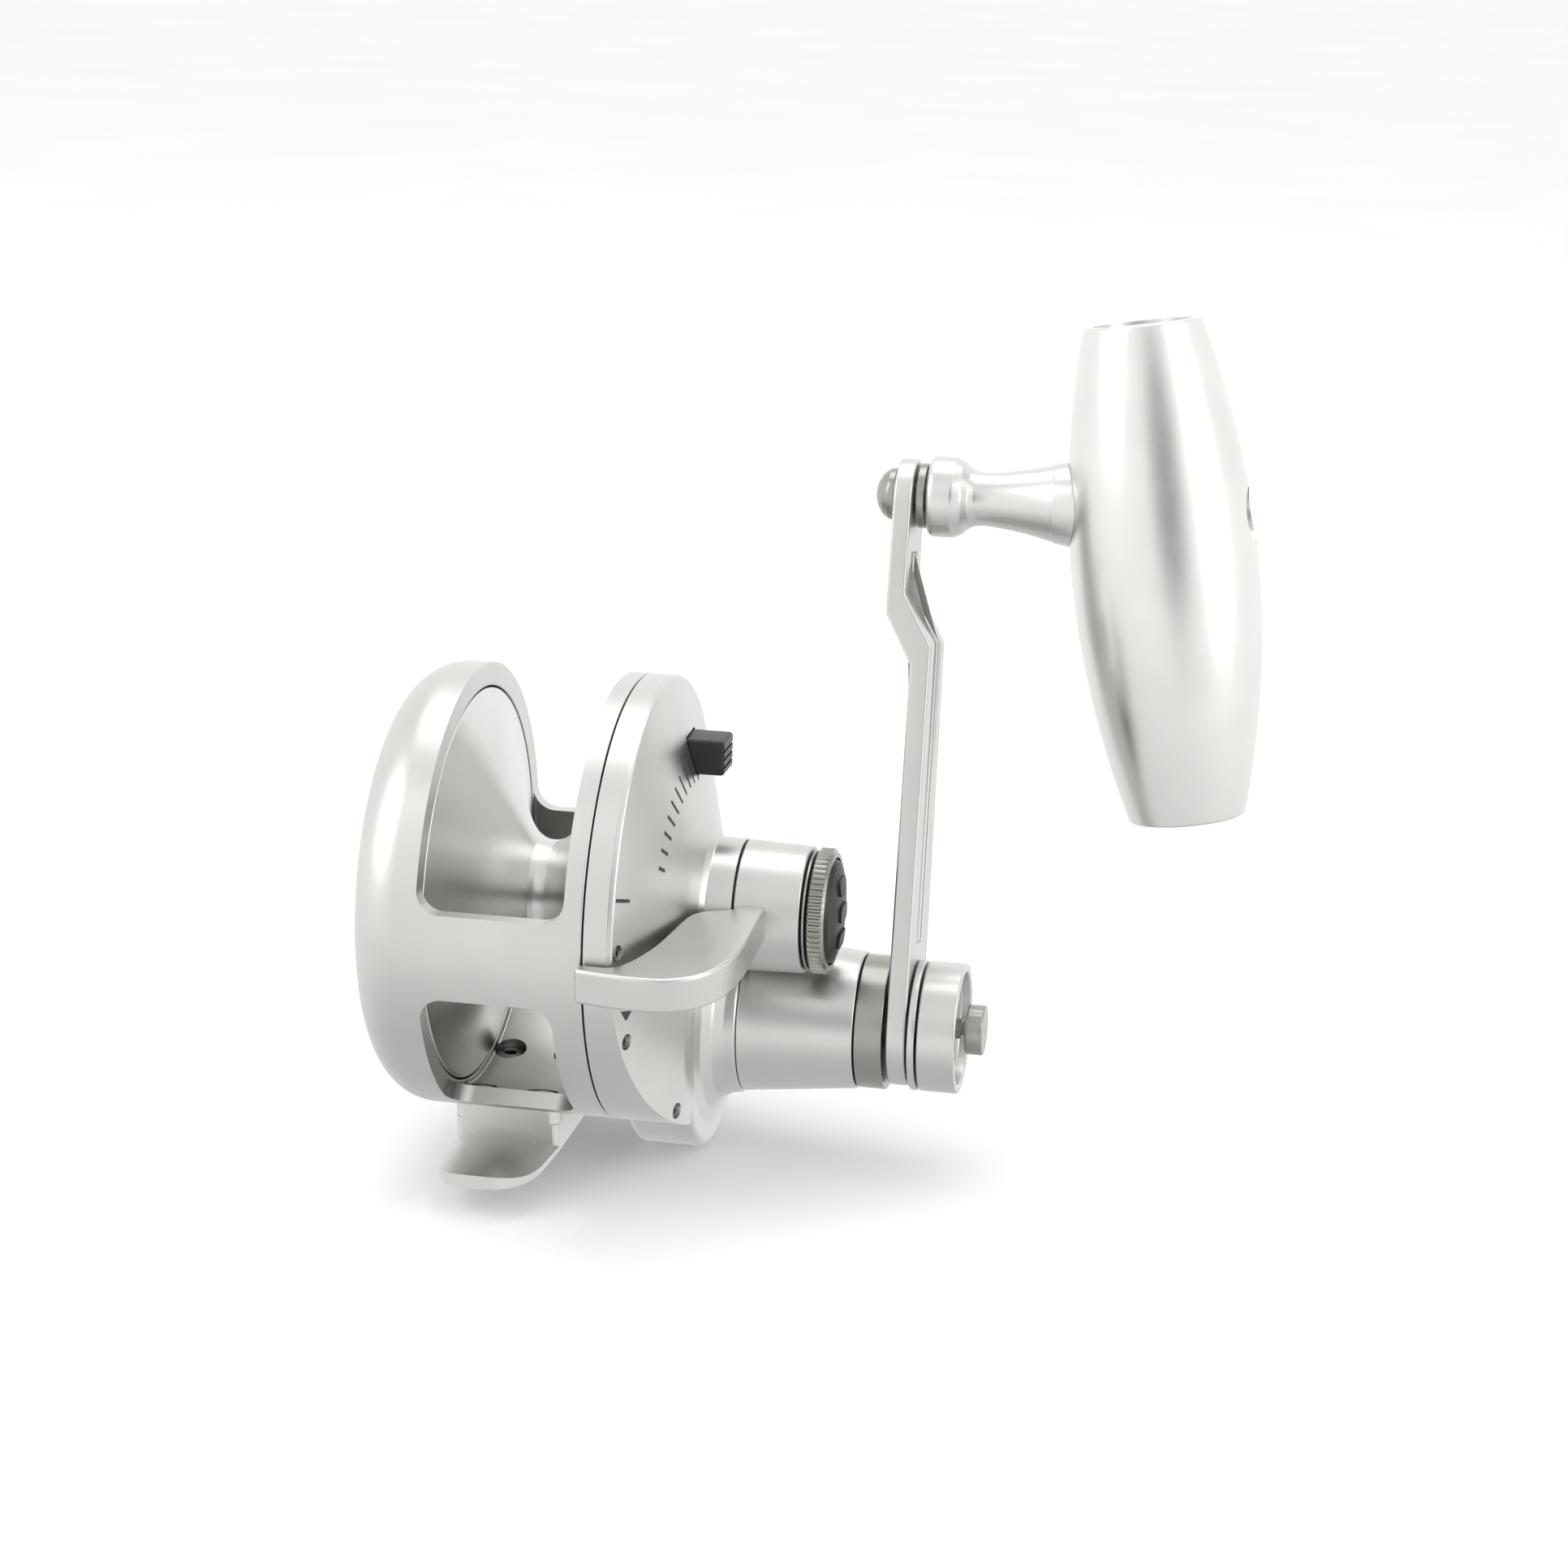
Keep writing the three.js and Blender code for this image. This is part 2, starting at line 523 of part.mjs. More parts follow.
add(handleAxis, 'handle_shaft', revolve([[3.4, 0], [3.4, 2.9], [6.1, 2.9], [6.1, HANDLE_SHAFT_R],
  [47.3, HANDLE_SHAFT_R], [47.3, 3], [40.2, 3], [40.2, 1.9], [7.4, 1.9], [7.4, 0]], 24), STAINLESS());
add(handleAxis, 'handle_bearing_inner', ring(3.6, 5.6, 3.2, 6, SMALL_SEGMENTS), STAINLESS());
add(handleAxis, 'handle_bearing_outer', ring(35.4, 38.2, 4.3, 7.7, SMALL_SEGMENTS), STAINLESS());
add(handleAxis, 'roller_clutch', ring(22, 31, 4.3, 7.9, SMALL_SEGMENTS), STAINLESS());
add(handleAxis, 'handle_sleeve', revolve([[SLEEVE_START_X, 8.2], [SLEEVE_START_X, 12.9], [18.2, 12.7],
  [SLEEVE_END_X, 10.95], [SLEEVE_END_X, 8.2], [SLEEVE_START_X, 8.2]]), ANODISED());
add(handleAxis, 'sleeve_ring', revolve([[35, 8], [35, 10.7], [RING_END_X, 10.7], [RING_END_X, 4.6],
  [38.5, 4.6], [38.5, 8], [35, 8]]), STAINLESS());

// ---------------------------------------------------------------- crank
function crankArm() {
  const [bendLow, bendHigh, slant] = [57.7, 65.5, 3.2];
  const upperOut = ARM_OUT_X - 0.3 - ARM_CRANK;
  const top = ARM_LENGTH + 9;
  const side = polygon([
    [ARM_IN_X, -12], [ARM_OUT_X, -12], [ARM_OUT_X, bendLow + slant], [upperOut, bendHigh + slant],
    [upperOut, top], [ARM_IN_X - ARM_CRANK, top], [ARM_IN_X - ARM_CRANK, bendHigh], [ARM_IN_X, bendLow],
  ]);
  const face = twoCircleOutline([0, 0, 9.8], [0, ARM_LENGTH - 1.4, 7.1], 10);
  const groove = polygon([
    [ARM_OUT_X - 0.8, 13], [ARM_OUT_X + 9, 13], [ARM_OUT_X + 9, 75], [upperOut - 0.8, 75],
    [upperOut - 0.8, bendHigh + slant], [ARM_OUT_X - 0.8, bendLow + slant],
  ]);
  return cut(shared(alongY(side, -15, 15), alongX(face, 30, 60)), alongY(groove, -3.4, 3.4),
    disc(30, 60, HANDLE_SHAFT_R + FIT, SMALL_SEGMENTS),
    disc(30, 60, 2.7, SMALL_SEGMENTS).translate(0, 0, ARM_LENGTH));
}
add(crank, 'crank_arm', crankArm(), ANODISED());
add(crank, 'crank_washer', ring(43.4, 44.55, HANDLE_SHAFT_R + FIT, 10.4, MID_SEGMENTS), ANODISED());
add(crank, 'crank_cap', revolve([[44.9, 4.4], [44.9, CAP_R], [50.4, CAP_R], [50.9, 9.9], [50.9, 9.1],
  [49.2, 8.8], [49.2, 1.8], [47.6, 1.8], [47.6, 4.4], [44.9, 4.4]]), ANODISED());
add(crank, 'shift_button', revolve([[10, 0], [10, 1.4], [49.8, 1.4], [49.8, 1.1], [51.6, 1.1],
  [51.6, 3.7], [51.9, 4], [54.1, 4], [54.4, 3.7], [54.4, 0]], 24), STAINLESS());
add(crank, 'shift_spring', coil(42.5, 46.9, 2.3, 0.28, 5), STAINLESS());

// ---------------------------------------------------------------- handle knob
function barrel(grow = 0) {
  const outline = [new THREE.Vector2(0, KNOB_BOTTOM - grow)];
  const steps = 10;
  const middle = (KNOB_TOP + KNOB_BOTTOM) / 2;
  const half = (KNOB_TOP - KNOB_BOTTOM) / 2;
  outline.push(new THREE.Vector2(KNOB_END_R - 0.8 + grow, KNOB_BOTTOM - grow));
  for (let i = 0; i <= steps; i += 1) {
    const u = -0.98 + (1.96 * i) / steps;
    const r = KNOB_MAX_R - (KNOB_MAX_R - KNOB_END_R) * Math.abs(u) ** 1.95 + grow;
    outline.push(new THREE.Vector2(r, middle + half * u));
  }
  outline.push(new THREE.Vector2(KNOB_END_R - 0.8 + grow, KNOB_TOP + grow));
  outline.push(new THREE.Vector2(0, KNOB_TOP + grow));
  return new THREE.LatheGeometry(outline, 26).rotateX(Math.PI / 2);
}
const barrelTurn = new THREE.Matrix4().makeRotationFromEuler(knob.rotation);
// The spindle's bore, seen from the tilted barrel's own frame.
const spindleBore = (x0, x1, r) =>
  disc(x0 - KNOB_X, x1 - KNOB_X, r, SMALL_SEGMENTS).applyMatrix4(barrelTurn.clone().invert());
const inSpindleFrame = (geometry) => geometry.applyMatrix4(barrelTurn).translate(KNOB_X, 0, 0);

add(knob, 'handle_knob', cut(barrel(), spindleBore(69, 100, 4.4), spindleBore(50, 80, 2.7)), POLISHED());
const neck = revolve([[40.4, 2.7], [40.4, 6.1], [40.8, 6.35], [44.6, 6.35], [46, 5.6], [47.4, 4.35],
  [49, 4.2], [53, 4.6], [58, 5.6], [62.6, 6.65], [69, 6.65], [69, 2.7], [40.4, 2.7]]);
add(spindle, 'knob_neck', cut(neck, inSpindleFrame(barrel(FIT)), disc(38, 43.3, 4.6, SMALL_SEGMENTS)),
  POLISHED());
add(spindle, 'knob_bearing_inner', ring(40.7, 43, 2.7, 4.3, SMALL_SEGMENTS), STAINLESS());
add(spindle, 'knob_bearing_outer', ring(69.3, 72, 2.7, 4.1, SMALL_SEGMENTS), STAINLESS());
add(spindle, 'knob_axle', revolve([[33.6, 0], [33.6, 2.4], [72.6, 2.4], [72.6, 3.6], [74, 3.6],
  [74, 0]], SMALL_SEGMENTS), STAINLESS());
add(spindle, 'axle_nut', revolve([[31.9, 0], [32.1, 1.4], [32.8, 2.8], [33.9, 3.8], [35.3, 4.2],
  [35.3, 2.7], [33.3, 2.7], [33.3, 0]], 20), STAINLESS());
add(spindle, 'axle_washer', ring(38.8, 40.1, 2.7, 5.1, 20), STAINLESS());
add(spindle, 'knob_end_plug', disc(85.4, 89.6, 4.1, SMALL_SEGMENTS), ANODISED());

// ---------------------------------------------------------------- drag lever, preset knob, strike button
function leverArm() {
  const stretch = 1 / Math.cos(LEVER_SLOPE);
  const plan = new THREE.Shape();
  const at = (x, y) => [x, y * stretch];
  plan.moveTo(...at(18, -2));
  plan.lineTo(...at(18.2, -14.4));
  plan.bezierCurveTo(...at(18, -17.6), ...at(14.4, -16.6), ...at(12.9, -20.3));
  plan.bezierCurveTo(...at(11.6, -24), ...at(11, -28), ...at(9.3, -31));
  plan.bezierCurveTo(...at(7.6, -34), ...at(6, -36), ...at(3.8, -36.1));
  plan.lineTo(...at(0.4, -36));
  plan.bezierCurveTo(...at(-0.7, -36.2), ...at(-0.7, -38), ...at(0.4, -38.2));
  plan.bezierCurveTo(...at(5, -39), ...at(9, -39.6), ...at(13, -39));
  plan.bezierCurveTo(...at(19, -38), ...at(22.6, -33), ...at(23.1, -24));
  plan.bezierCurveTo(...at(23.4, -19), ...at(23.4, -13), ...at(24.4, -9));
  plan.lineTo(...at(24.4, -2));
  const arm = alongZ(plan, LEVER_TOP_Z - LEVER_THICKNESS, LEVER_TOP_Z, 0.5, 5);
  return arm.translate(0, 0, -LEVER_TOP_Z).rotateX(LEVER_SLOPE).translate(0, 0, LEVER_TOP_Z);
}

function dragLever() {
  const hub = revolve([[17.5, 0], [17.5, 10.26], [27.3, 9.95], [27.7, 9.5], [27.7, 0]], 36);
  return cut(joined(hub, leverArm()), disc(17, 26.9, 6.3, MID_SEGMENTS), disc(17, 21.5, 8.9),
    disc(20, 30, 3, SMALL_SEGMENTS));
}
add(reel, 'drag_lever', dragLever(), ANODISED());
add(reel, 'lever_cam', ring(17.8, 21.2, 6.3, 8.6, 24), STAINLESS());
add(reel, 'preset_washer', ring(28, 28.4, SHAFT_BORE_R, 9.3, MID_SEGMENTS), STAINLESS());
add(reel, 'preset_knob', revolve([[28.7, SHAFT_BORE_R], [28.7, 9.4], [29, 9.78], [30.9, 9.78],
  [31.4, 9.3], [31.4, 8.6], [29.8, 8.6], [29.8, SHAFT_BORE_R], [28.7, SHAFT_BORE_R]]), STAINLESS());
add(reel, 'preset_cap', revolve([[30.1, 0], [30.1, 8.3], [31.3, 8.3], [32.2, 7.6], [33, 5.2],
  [33.4, 2.4], [33.5, 0]]), BLACK());

const buttonBody = box(6, 13.4, 0.4, 7.4, 20.2, 25.8);
const buttonFlange = box(5.8, 6.25, -0.6, 8, 19.3, 25.8);
add(reel, 'strike_button', cut(joined(buttonBody, buttonFlange),
  disc(3, 12.2, 1.8, SMALL_SEGMENTS).translate(0, 3.9, 23)), BLACK());
add(reel, 'strike_spring', coil(4.8, 10.6, 1.25, 0.25, 5).translate(0, 3.9, 23), STAINLESS());

export default reel;
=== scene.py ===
"""Two-speed lever-drag reel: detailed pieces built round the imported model, at rest in the row frame."""

import json
import math

import bmesh
import bpy
from mathutils import Matrix, Vector


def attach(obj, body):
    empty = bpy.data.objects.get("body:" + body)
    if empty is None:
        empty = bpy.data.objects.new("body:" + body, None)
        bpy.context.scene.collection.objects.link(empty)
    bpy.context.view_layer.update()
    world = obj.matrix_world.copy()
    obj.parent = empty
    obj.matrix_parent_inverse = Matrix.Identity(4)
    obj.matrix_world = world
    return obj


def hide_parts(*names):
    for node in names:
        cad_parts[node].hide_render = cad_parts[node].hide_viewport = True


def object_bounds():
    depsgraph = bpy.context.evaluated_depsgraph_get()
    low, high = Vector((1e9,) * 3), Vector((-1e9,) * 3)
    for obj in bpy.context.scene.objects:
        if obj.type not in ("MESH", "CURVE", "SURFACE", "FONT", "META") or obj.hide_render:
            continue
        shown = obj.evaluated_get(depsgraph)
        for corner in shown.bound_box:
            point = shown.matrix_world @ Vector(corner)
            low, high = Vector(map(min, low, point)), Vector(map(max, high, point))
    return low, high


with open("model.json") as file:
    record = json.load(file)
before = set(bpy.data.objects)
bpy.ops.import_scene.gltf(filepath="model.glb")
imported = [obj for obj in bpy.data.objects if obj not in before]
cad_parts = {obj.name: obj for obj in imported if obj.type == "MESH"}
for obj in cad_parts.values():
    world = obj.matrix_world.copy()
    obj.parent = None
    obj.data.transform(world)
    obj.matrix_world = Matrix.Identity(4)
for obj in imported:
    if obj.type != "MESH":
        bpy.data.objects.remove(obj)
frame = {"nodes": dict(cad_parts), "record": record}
cad_box = [list(corner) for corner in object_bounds()]

# ------------------------------------------------------------------ dimensions, in millimetres
MM = 0.001
PLATE_R = 35
FOOT_X = -18
AXIS_HEIGHT = 39.9
HANDLE_Y = 11
HANDLE_Z = -21.45
LOBE_R = 22.4
ARM_LEAN = math.radians(10.61)
ARM_LENGTH = 84
ARM_IN_X = 39.9
ARM_OUT_X = 43.05
ARM_CRANK = 4.3
KNOB_X = 76.4
KNOB_TILT = math.radians(-8.6)
KNOB_SPIN = math.radians(4.9)
KNOB_TOP = 29
KNOB_BOTTOM = -48.7
KNOB_MAX_R = 14.6
KNOB_END_R = 9.1
LEVER_SLOPE = math.radians(5.3)
LEVER_TOP_Z = 3.93
LEVER_THICKNESS = 5.5
SCREW_R = 33.2
SPINDLE_BORE = 2.7
SHAFT_BORE = 3.6
CRANK_BORE = 4.3
BOSS_R = 10.3
BEARING_ROOM = 6.5
PLATE_SCREWS = ((3, 3.4), (-23, 4), (-61, 8.6), (178, 3.4), (148, 3.4))
CONE = ((0.3, 35), (3.84, 35), (4.6, 34.7), (7.15, 27), (11.1, 14.2))
# Segments round a circle, from the widest rounds to the small ones.
LARGE = 160
FINE = 128
MIDDLE = 96
SMALL = 64
ROUGH = 48
SCREW = 40
HEXAGON = 6
SHARP_ANGLE = math.radians(34)

# Each group's own axes, in millimetres, from the row frame.
REEL = Matrix.Translation((-FOOT_X, 0, AXIS_HEIGHT))
HANDLE = REEL @ Matrix.Translation((0, HANDLE_Y, HANDLE_Z))
CRANK = HANDLE @ Matrix.Rotation(-ARM_LEAN, 4, "X")
SPINDLE = CRANK @ Matrix.Translation((0, 0, ARM_LENGTH))
KNOB_TURN = (Matrix.Translation((KNOB_X, 0, 0)) @ Matrix.Rotation(ARM_LEAN - KNOB_SPIN, 4, "X")
             @ Matrix.Rotation(KNOB_TILT, 4, "Y"))
IN_HANDLE = Matrix.Translation((0, HANDLE_Y, HANDLE_Z))
UPRIGHT = Matrix.Rotation(-math.pi / 2, 4, "Y")


# ------------------------------------------------------------------ mesh tools
def soften(points, radius, steps=3):
    """The same profile with each corner rounded, ends kept; a closed profile repeats its first point."""
    loop = tuple(points[0][:2]) == tuple(points[-1][:2])
    pts = [Vector(p[:2]) for p in (points[:-1] if loop else points)]
    count = len(pts)
    out = []
    for i, p in enumerate(pts):
        if not loop and i in (0, count - 1):
            out.append(tuple(p))
            continue
        before, after = pts[i - 1] - p, pts[(i + 1) % count] - p
        turn = math.pi - before.angle(after, 0)
        if turn < math.radians(12):
            out.append(tuple(p))
            continue
        reach = min(radius * math.tan(turn / 2), 0.45 * before.length, 0.45 * after.length)
        a, b = p + before.normalized() * reach, p + after.normalized() * reach
        for k in range(steps + 1):
            t = k / steps
            out.append(tuple(a * (1 - t) ** 2 + p * 2 * t * (1 - t) + b * t * t))
    if loop:
        out.append(out[0])
    return out


def new_object(bm):
    bmesh.ops.remove_doubles(bm, verts=bm.verts, dist=1e-4)
    bmesh.ops.recalc_face_normals(bm, faces=bm.faces)
    mesh = bpy.data.meshes.new("work")
    bm.to_mesh(mesh)
    bm.free()
    obj = bpy.data.objects.new("work", mesh)
    bpy.context.scene.collection.objects.link(obj)
    return obj


def lathe(points, segments=FINE, ripple=None):
    """A solid of revolution about X from (x, r) points. ripple(k, x) changes the radius of segment k."""
    bm = bmesh.new()
    loop = tuple(points[0]) == tuple(points[-1])
    rings = []
    for x, r in points[:-1] if loop else points:
        if r < 1e-6:
            rings.append([bm.verts.new((x, 0, 0))])
            continue
        ring = []
        for k in range(segments):
            a = 2 * math.pi * k / segments
            rr = r + (ripple(k, x) if ripple else 0)
            ring.append(bm.verts.new((x, rr * math.cos(a), rr * math.sin(a))))
        rings.append(ring)
    for a, b in zip(rings, rings[1:] + rings[:1] if loop else rings[1:]):
        for k in range(segments):
            n = (k + 1) % segments
            corners = [a[k % len(a)], b[k % len(b)], b[n % len(b)], a[n % len(a)]]
            corners = [v for i, v in enumerate(corners) if v not in corners[:i]]
            if len(corners) > 2:
                bm.faces.new(corners)
    return new_object(bm)


def cylinder(x0, x1, r, segments=ROUGH):
    return lathe([(x0, 0), (x0, r), (x1, r), (x1, 0)], segments)


def tube(x0, x1, inner, outer, soft=0.15, segments=FINE):
    return lathe(soften([(x0, inner), (x0, outer), (x1, outer), (x1, inner), (x0, inner)], soft), segments)


def prism(outline, low, high, along):
    """An outline in (y, z) along X, in (x, z) along Y, or in (x, y) along Z."""
    place = {"X": lambda u, v, w: (w, u, v), "Y": lambda u, v, w: (u, w, v), "Z": lambda u, v, w: (u, v, w)}
    bm = bmesh.new()
    ends = [[bm.verts.new(place[along](u, v, w)) for u, v in outline] for w in (low, high)]
    bm.faces.new(ends[0])
    bm.faces.new(ends[1])
    for k in range(len(outline)):
        n = (k + 1) % len(outline)
        bm.faces.new((ends[0][k], ends[0][n], ends[1][n], ends[1][k]))
    return new_object(bm)


def rounded_rect(u0, v0, u1, v1, r, steps=8):
    points = []
    right, left, low, high = u1 - r, u0 + r, v0 + r, v1 - r
    for cu, cv, start in ((right, low, -90), (right, high, 0), (left, high, 90), (left, low, 180)):
        for k in range(steps + 1):
            a = math.radians(start + 90 * k / steps)
            points.append((cu + r * math.cos(a), cv + r * math.sin(a)))
    return points


def two_circles(v1, r0, r1, steps=24):
    """The outline round a circle at the origin and one at (0, v1)."""
    spread = math.acos((r0 - r1) / v1)
    points = []
    for k in range(steps + 1):
        a = math.pi / 2 + spread + (2 * math.pi - 2 * spread) * k / steps
        points.append((r0 * math.cos(a), r0 * math.sin(a)))
    for k in range(steps + 1):
        a = math.pi / 2 - spread + 2 * spread * k / steps
        points.append((r1 * math.cos(a), v1 + r1 * math.sin(a)))
    return points


def bezier(p0, p1, p2, p3, steps=10):
    """Points along a cubic, without its first one."""
    points = []
    for k in range(1, steps + 1):
        t = k / steps
        c = ((1 - t) ** 3, 3 * t * (1 - t) ** 2, 3 * t * t * (1 - t), t ** 3)
        points.append(tuple(sum(c[i] * p[j] for i, p in enumerate((p0, p1, p2, p3))) for j in (0, 1)))
    return points


def move(obj, matrix):
    obj.data.transform(matrix)
    return obj


def shifted(obj, x=0, y=0, z=0):
    return move(obj, Matrix.Translation((x, y, z)))


def applied(obj):
    graph = bpy.context.evaluated_depsgraph_get()
    mesh = bpy.data.meshes.new_from_object(obj.evaluated_get(graph))
    obj.modifiers.clear()
    obj.data = mesh
    return obj


def carve(obj, operation, *tools):
    for tool in tools:
        step = obj.modifiers.new("carve", "BOOLEAN")
        step.operation = operation
        step.solver = "EXACT"
        step.object = tool
    applied(obj)
    for tool in tools:
        bpy.data.objects.remove(tool)
    bm = bmesh.new()
    bm.from_mesh(obj.data)
    bmesh.ops.remove_doubles(bm, verts=bm.verts, dist=2e-3)
    bmesh.ops.dissolve_degenerate(bm, edges=bm.edges, dist=1e-3)
    bmesh.ops.dissolve_limit(bm, angle_limit=math.radians(0.4), verts=bm.verts, edges=bm.edges)
    bm.to_mesh(obj.data)
    bm.free()
    return obj


def cut(obj, *tools):
    return carve(obj, "DIFFERENCE", *tools)


def join(obj, *tools):
    return carve(obj, "UNION", *tools)


def common(obj, tool):
    return carve(obj, "INTERSECT", tool)


def round_edges(obj, width, angle=35, segments=3):
    step = obj.modifiers.new("round", "BEVEL")
    step.width = width
    step.segments = segments
    step.limit_method = "ANGLE"
    step.angle_limit = math.radians(angle)
    step.use_clamp_overlap = True
    step.miter_outer = "MITER_ARC"
    return applied(obj)


def piece(name, obj, where, material, body, slot, *nodes):
    """Puts a finished piece in the row frame, on its body, in place of its CAD nodes."""
    obj.name = obj.data.name = name
    obj.data.transform(Matrix.Scale(MM, 4) @ where)
    obj.data.shade_smooth()
    obj.data.set_sharp_from_angle(angle=SHARP_ANGLE)
    weights = obj.modifiers.new("weights", "WEIGHTED_NORMAL")
    weights.keep_sharp = True
    obj.data.materials.clear()
    obj.data.materials.append(material)
    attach(obj, body)
    if nodes:
        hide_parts(*nodes)


# ------------------------------------------------------------------ materials
NOISE_SLICE = 1


class Shader:
    """A Principled material whose colour, roughness and relief come from procedural nodes."""

    def __init__(self, name, metallic, specular=0.5):
        self.material = bpy.data.materials.new(name)
        self.material.use_nodes = True
        self.tree = self.material.node_tree
        self.surface = self.tree.nodes["Principled BSDF"]
        self.surface.inputs["Metallic"].default_value = metallic
        self.surface.inputs["Specular IOR Level"].default_value = specular
        self.place = self.add("ShaderNodeTexCoord").outputs["Object"]

    def add(self, kind, **values):
        node = self.tree.nodes.new(kind)
        for key, value in values.items():
            setattr(node, key, value)
        return node

    def link(self, a, b):
        self.tree.links.new(a, b)

    def noise(self, scale, detail=3, vector=None):
        node = self.add("ShaderNodeTexNoise")
        node.inputs["Scale"].default_value = scale
        node.inputs["Detail"].default_value = detail
        self.link(vector or self.place, node.inputs["Vector"])
        return node.outputs["Fac"]

    def turned(self, axis_y, axis_z):
        """Coordinates (x, r) round an axis along X, so that noise reads as lathe marks."""
        split = self.add("ShaderNodeSeparateXYZ")
        self.link(self.place, split.inputs[0])
        flat = self.add("ShaderNodeCombineXYZ")
        self.link(split.outputs["Y"], flat.inputs["X"])
        self.link(split.outputs["Z"], flat.inputs["Y"])
        away = self.add("ShaderNodeVectorMath", operation="DISTANCE")
        self.link(flat.outputs[0], away.inputs[0])
        away.inputs[1].default_value = (axis_y * MM, axis_z * MM, 0)
        both = self.add("ShaderNodeCombineXYZ")
        self.link(split.outputs["X"], both.inputs["X"])
        self.link(away.outputs["Value"], both.inputs["Y"])
        both.inputs["Z"].default_value = NOISE_SLICE
        return both.outputs[0]

    def colour(self, fac, low, high, spread=(0.3, 0.7)):
        ramp = self.add("ShaderNodeValToRGB")
        ramp.color_ramp.elements[0].position = spread[0]
        ramp.color_ramp.elements[1].position = spread[1]
        ramp.color_ramp.elements[0].color = (*low, 1)
        ramp.color_ramp.elements[1].color = (*high, 1)
        self.link(fac, ramp.inputs["Fac"])
        self.link(ramp.outputs["Color"], self.surface.inputs["Base Color"])

    def rough(self, fac, low, high):
        node = self.add("ShaderNodeMapRange")
        node.inputs["To Min"].default_value = low
        node.inputs["To Max"].default_value = high
        self.link(fac, node.inputs["Value"])
        self.link(node.outputs["Result"], self.surface.inputs["Roughness"])

    def relief(self, *layers):
        """Each layer is (height, strength, distance in millimetres)."""
        normal = None
        for height, strength, distance in layers:
            bump = self.add("ShaderNodeBump")
            bump.inputs["Strength"].default_value = strength
            bump.inputs["Distance"].default_value = distance * MM
            self.link(height, bump.inputs["Height"])
            if normal:
                self.link(normal, bump.inputs["Normal"])
            normal = bump.outputs["Normal"]
        self.link(normal, self.surface.inputs["Normal"])


def tint(colour, factor):
    return tuple(min(1, c * factor) for c in colour)


def metal(name, colour, roughness, axis=None, lines=0.25, blast=0.12):
    """Satin metal: fine blasting, slow changes of sheen and, where it was turned, lathe marks."""
    s = Shader(name, metallic=1)
    s.colour(s.noise(70, 2), tint(colour, 0.965), tint(colour, 1.03))
    s.rough(s.noise(220, 4), roughness - 0.045, roughness + 0.045)
    layers = [(s.noise(3800, 2), blast, 0.02)]
    if axis:
        layers.append((s.noise(2600, 3, s.turned(*axis)), lines, 0.012))
    s.relief(*layers)
    return s.material


SPOOL_AXIS = (0, AXIS_HEIGHT)
HANDLE_AXIS = (HANDLE_Y, AXIS_HEIGHT + HANDLE_Z)
SPINDLE_AXIS = (HANDLE_Y + ARM_LENGTH * math.sin(ARM_LEAN),
                AXIS_HEIGHT + HANDLE_Z + ARM_LENGTH * math.cos(ARM_LEAN))
ANODISED = (0.64, 0.635, 0.62)
BRIGHT = (0.70, 0.695, 0.68)
STEEL = (0.36, 0.35, 0.33)
anodised = metal("anodised", ANODISED, 0.36)
anodised_cone = metal("anodised_cone", ANODISED, 0.34, SPOOL_AXIS, 0.12)
anodised_handle = metal("anodised_handle", ANODISED, 0.31, HANDLE_AXIS, 0.3)
polished_spool = metal("polished_spool", BRIGHT, 0.31, SPOOL_AXIS, 0.2, 0.06)
polished_spindle = metal("polished_spindle", BRIGHT, 0.29, SPINDLE_AXIS, 0.22, 0.03)
polished_knob = metal("polished_knob", tint(BRIGHT, 1.08), 0.29, None, 0, 0.015)
steel = metal("steel", STEEL, 0.26)
steel_dark = metal("steel_dark", tint(STEEL, 0.6), 0.34)
steel_handle = metal("steel_handle", STEEL, 0.27, HANDLE_AXIS, 0.35)
steel_spool = metal("steel_spool", STEEL, 0.27, SPOOL_AXIS, 0.3)
bronze = metal("bronze", (0.62, 0.43, 0.18), 0.32, HANDLE_AXIS, 0.25)


def plastic(name, colour, roughness):
    s = Shader(name, metallic=0)
    s.colour(s.noise(180, 3), tint(colour, 0.8), tint(colour, 1.25))
    s.rough(s.noise(420, 4), roughness - 0.05, roughness + 0.08)
    s.relief((s.noise(2600, 3), 0.12, 0.02))
    return s.material


black = plastic("black_plastic", (0.006, 0.006, 0.0065), 0.38)
ink = plastic("dark_fill", (0.03, 0.028, 0.026), 0.5)


def woven():
    s = Shader("carbon", metallic=0)
    waves = []
    for direction in ("Y", "Z"):
        wave = s.add("ShaderNodeTexWave", bands_direction=direction)
        wave.inputs["Scale"].default_value = 300
        s.link(s.place, wave.inputs["Vector"])
        waves.append(wave.outputs["Fac"])
    mixed = s.add("ShaderNodeMath", operation="MULTIPLY")
    s.link(waves[0], mixed.inputs[0])
    s.link(waves[1], mixed.inputs[1])
    s.colour(mixed.outputs[0], (0.012, 0.012, 0.013), (0.05, 0.05, 0.055))
    s.rough(mixed.outputs[0], 0.42, 0.6)
    s.relief((mixed.outputs[0], 0.3, 0.05))
    return s.material


carbon = woven()
BY_SLOT = {"anodised_aluminium": anodised, "polished_aluminium": polished_spool, "stainless_steel": steel,
           "gear_bronze": bronze, "carbon_fibre": carbon, "black_plastic": black}
for part in frame["record"]["subparts"]:
    mesh = frame["nodes"][part["node"]].data
    mesh.materials.clear()
    mesh.materials.append(BY_SLOT[part["material_slot"]])


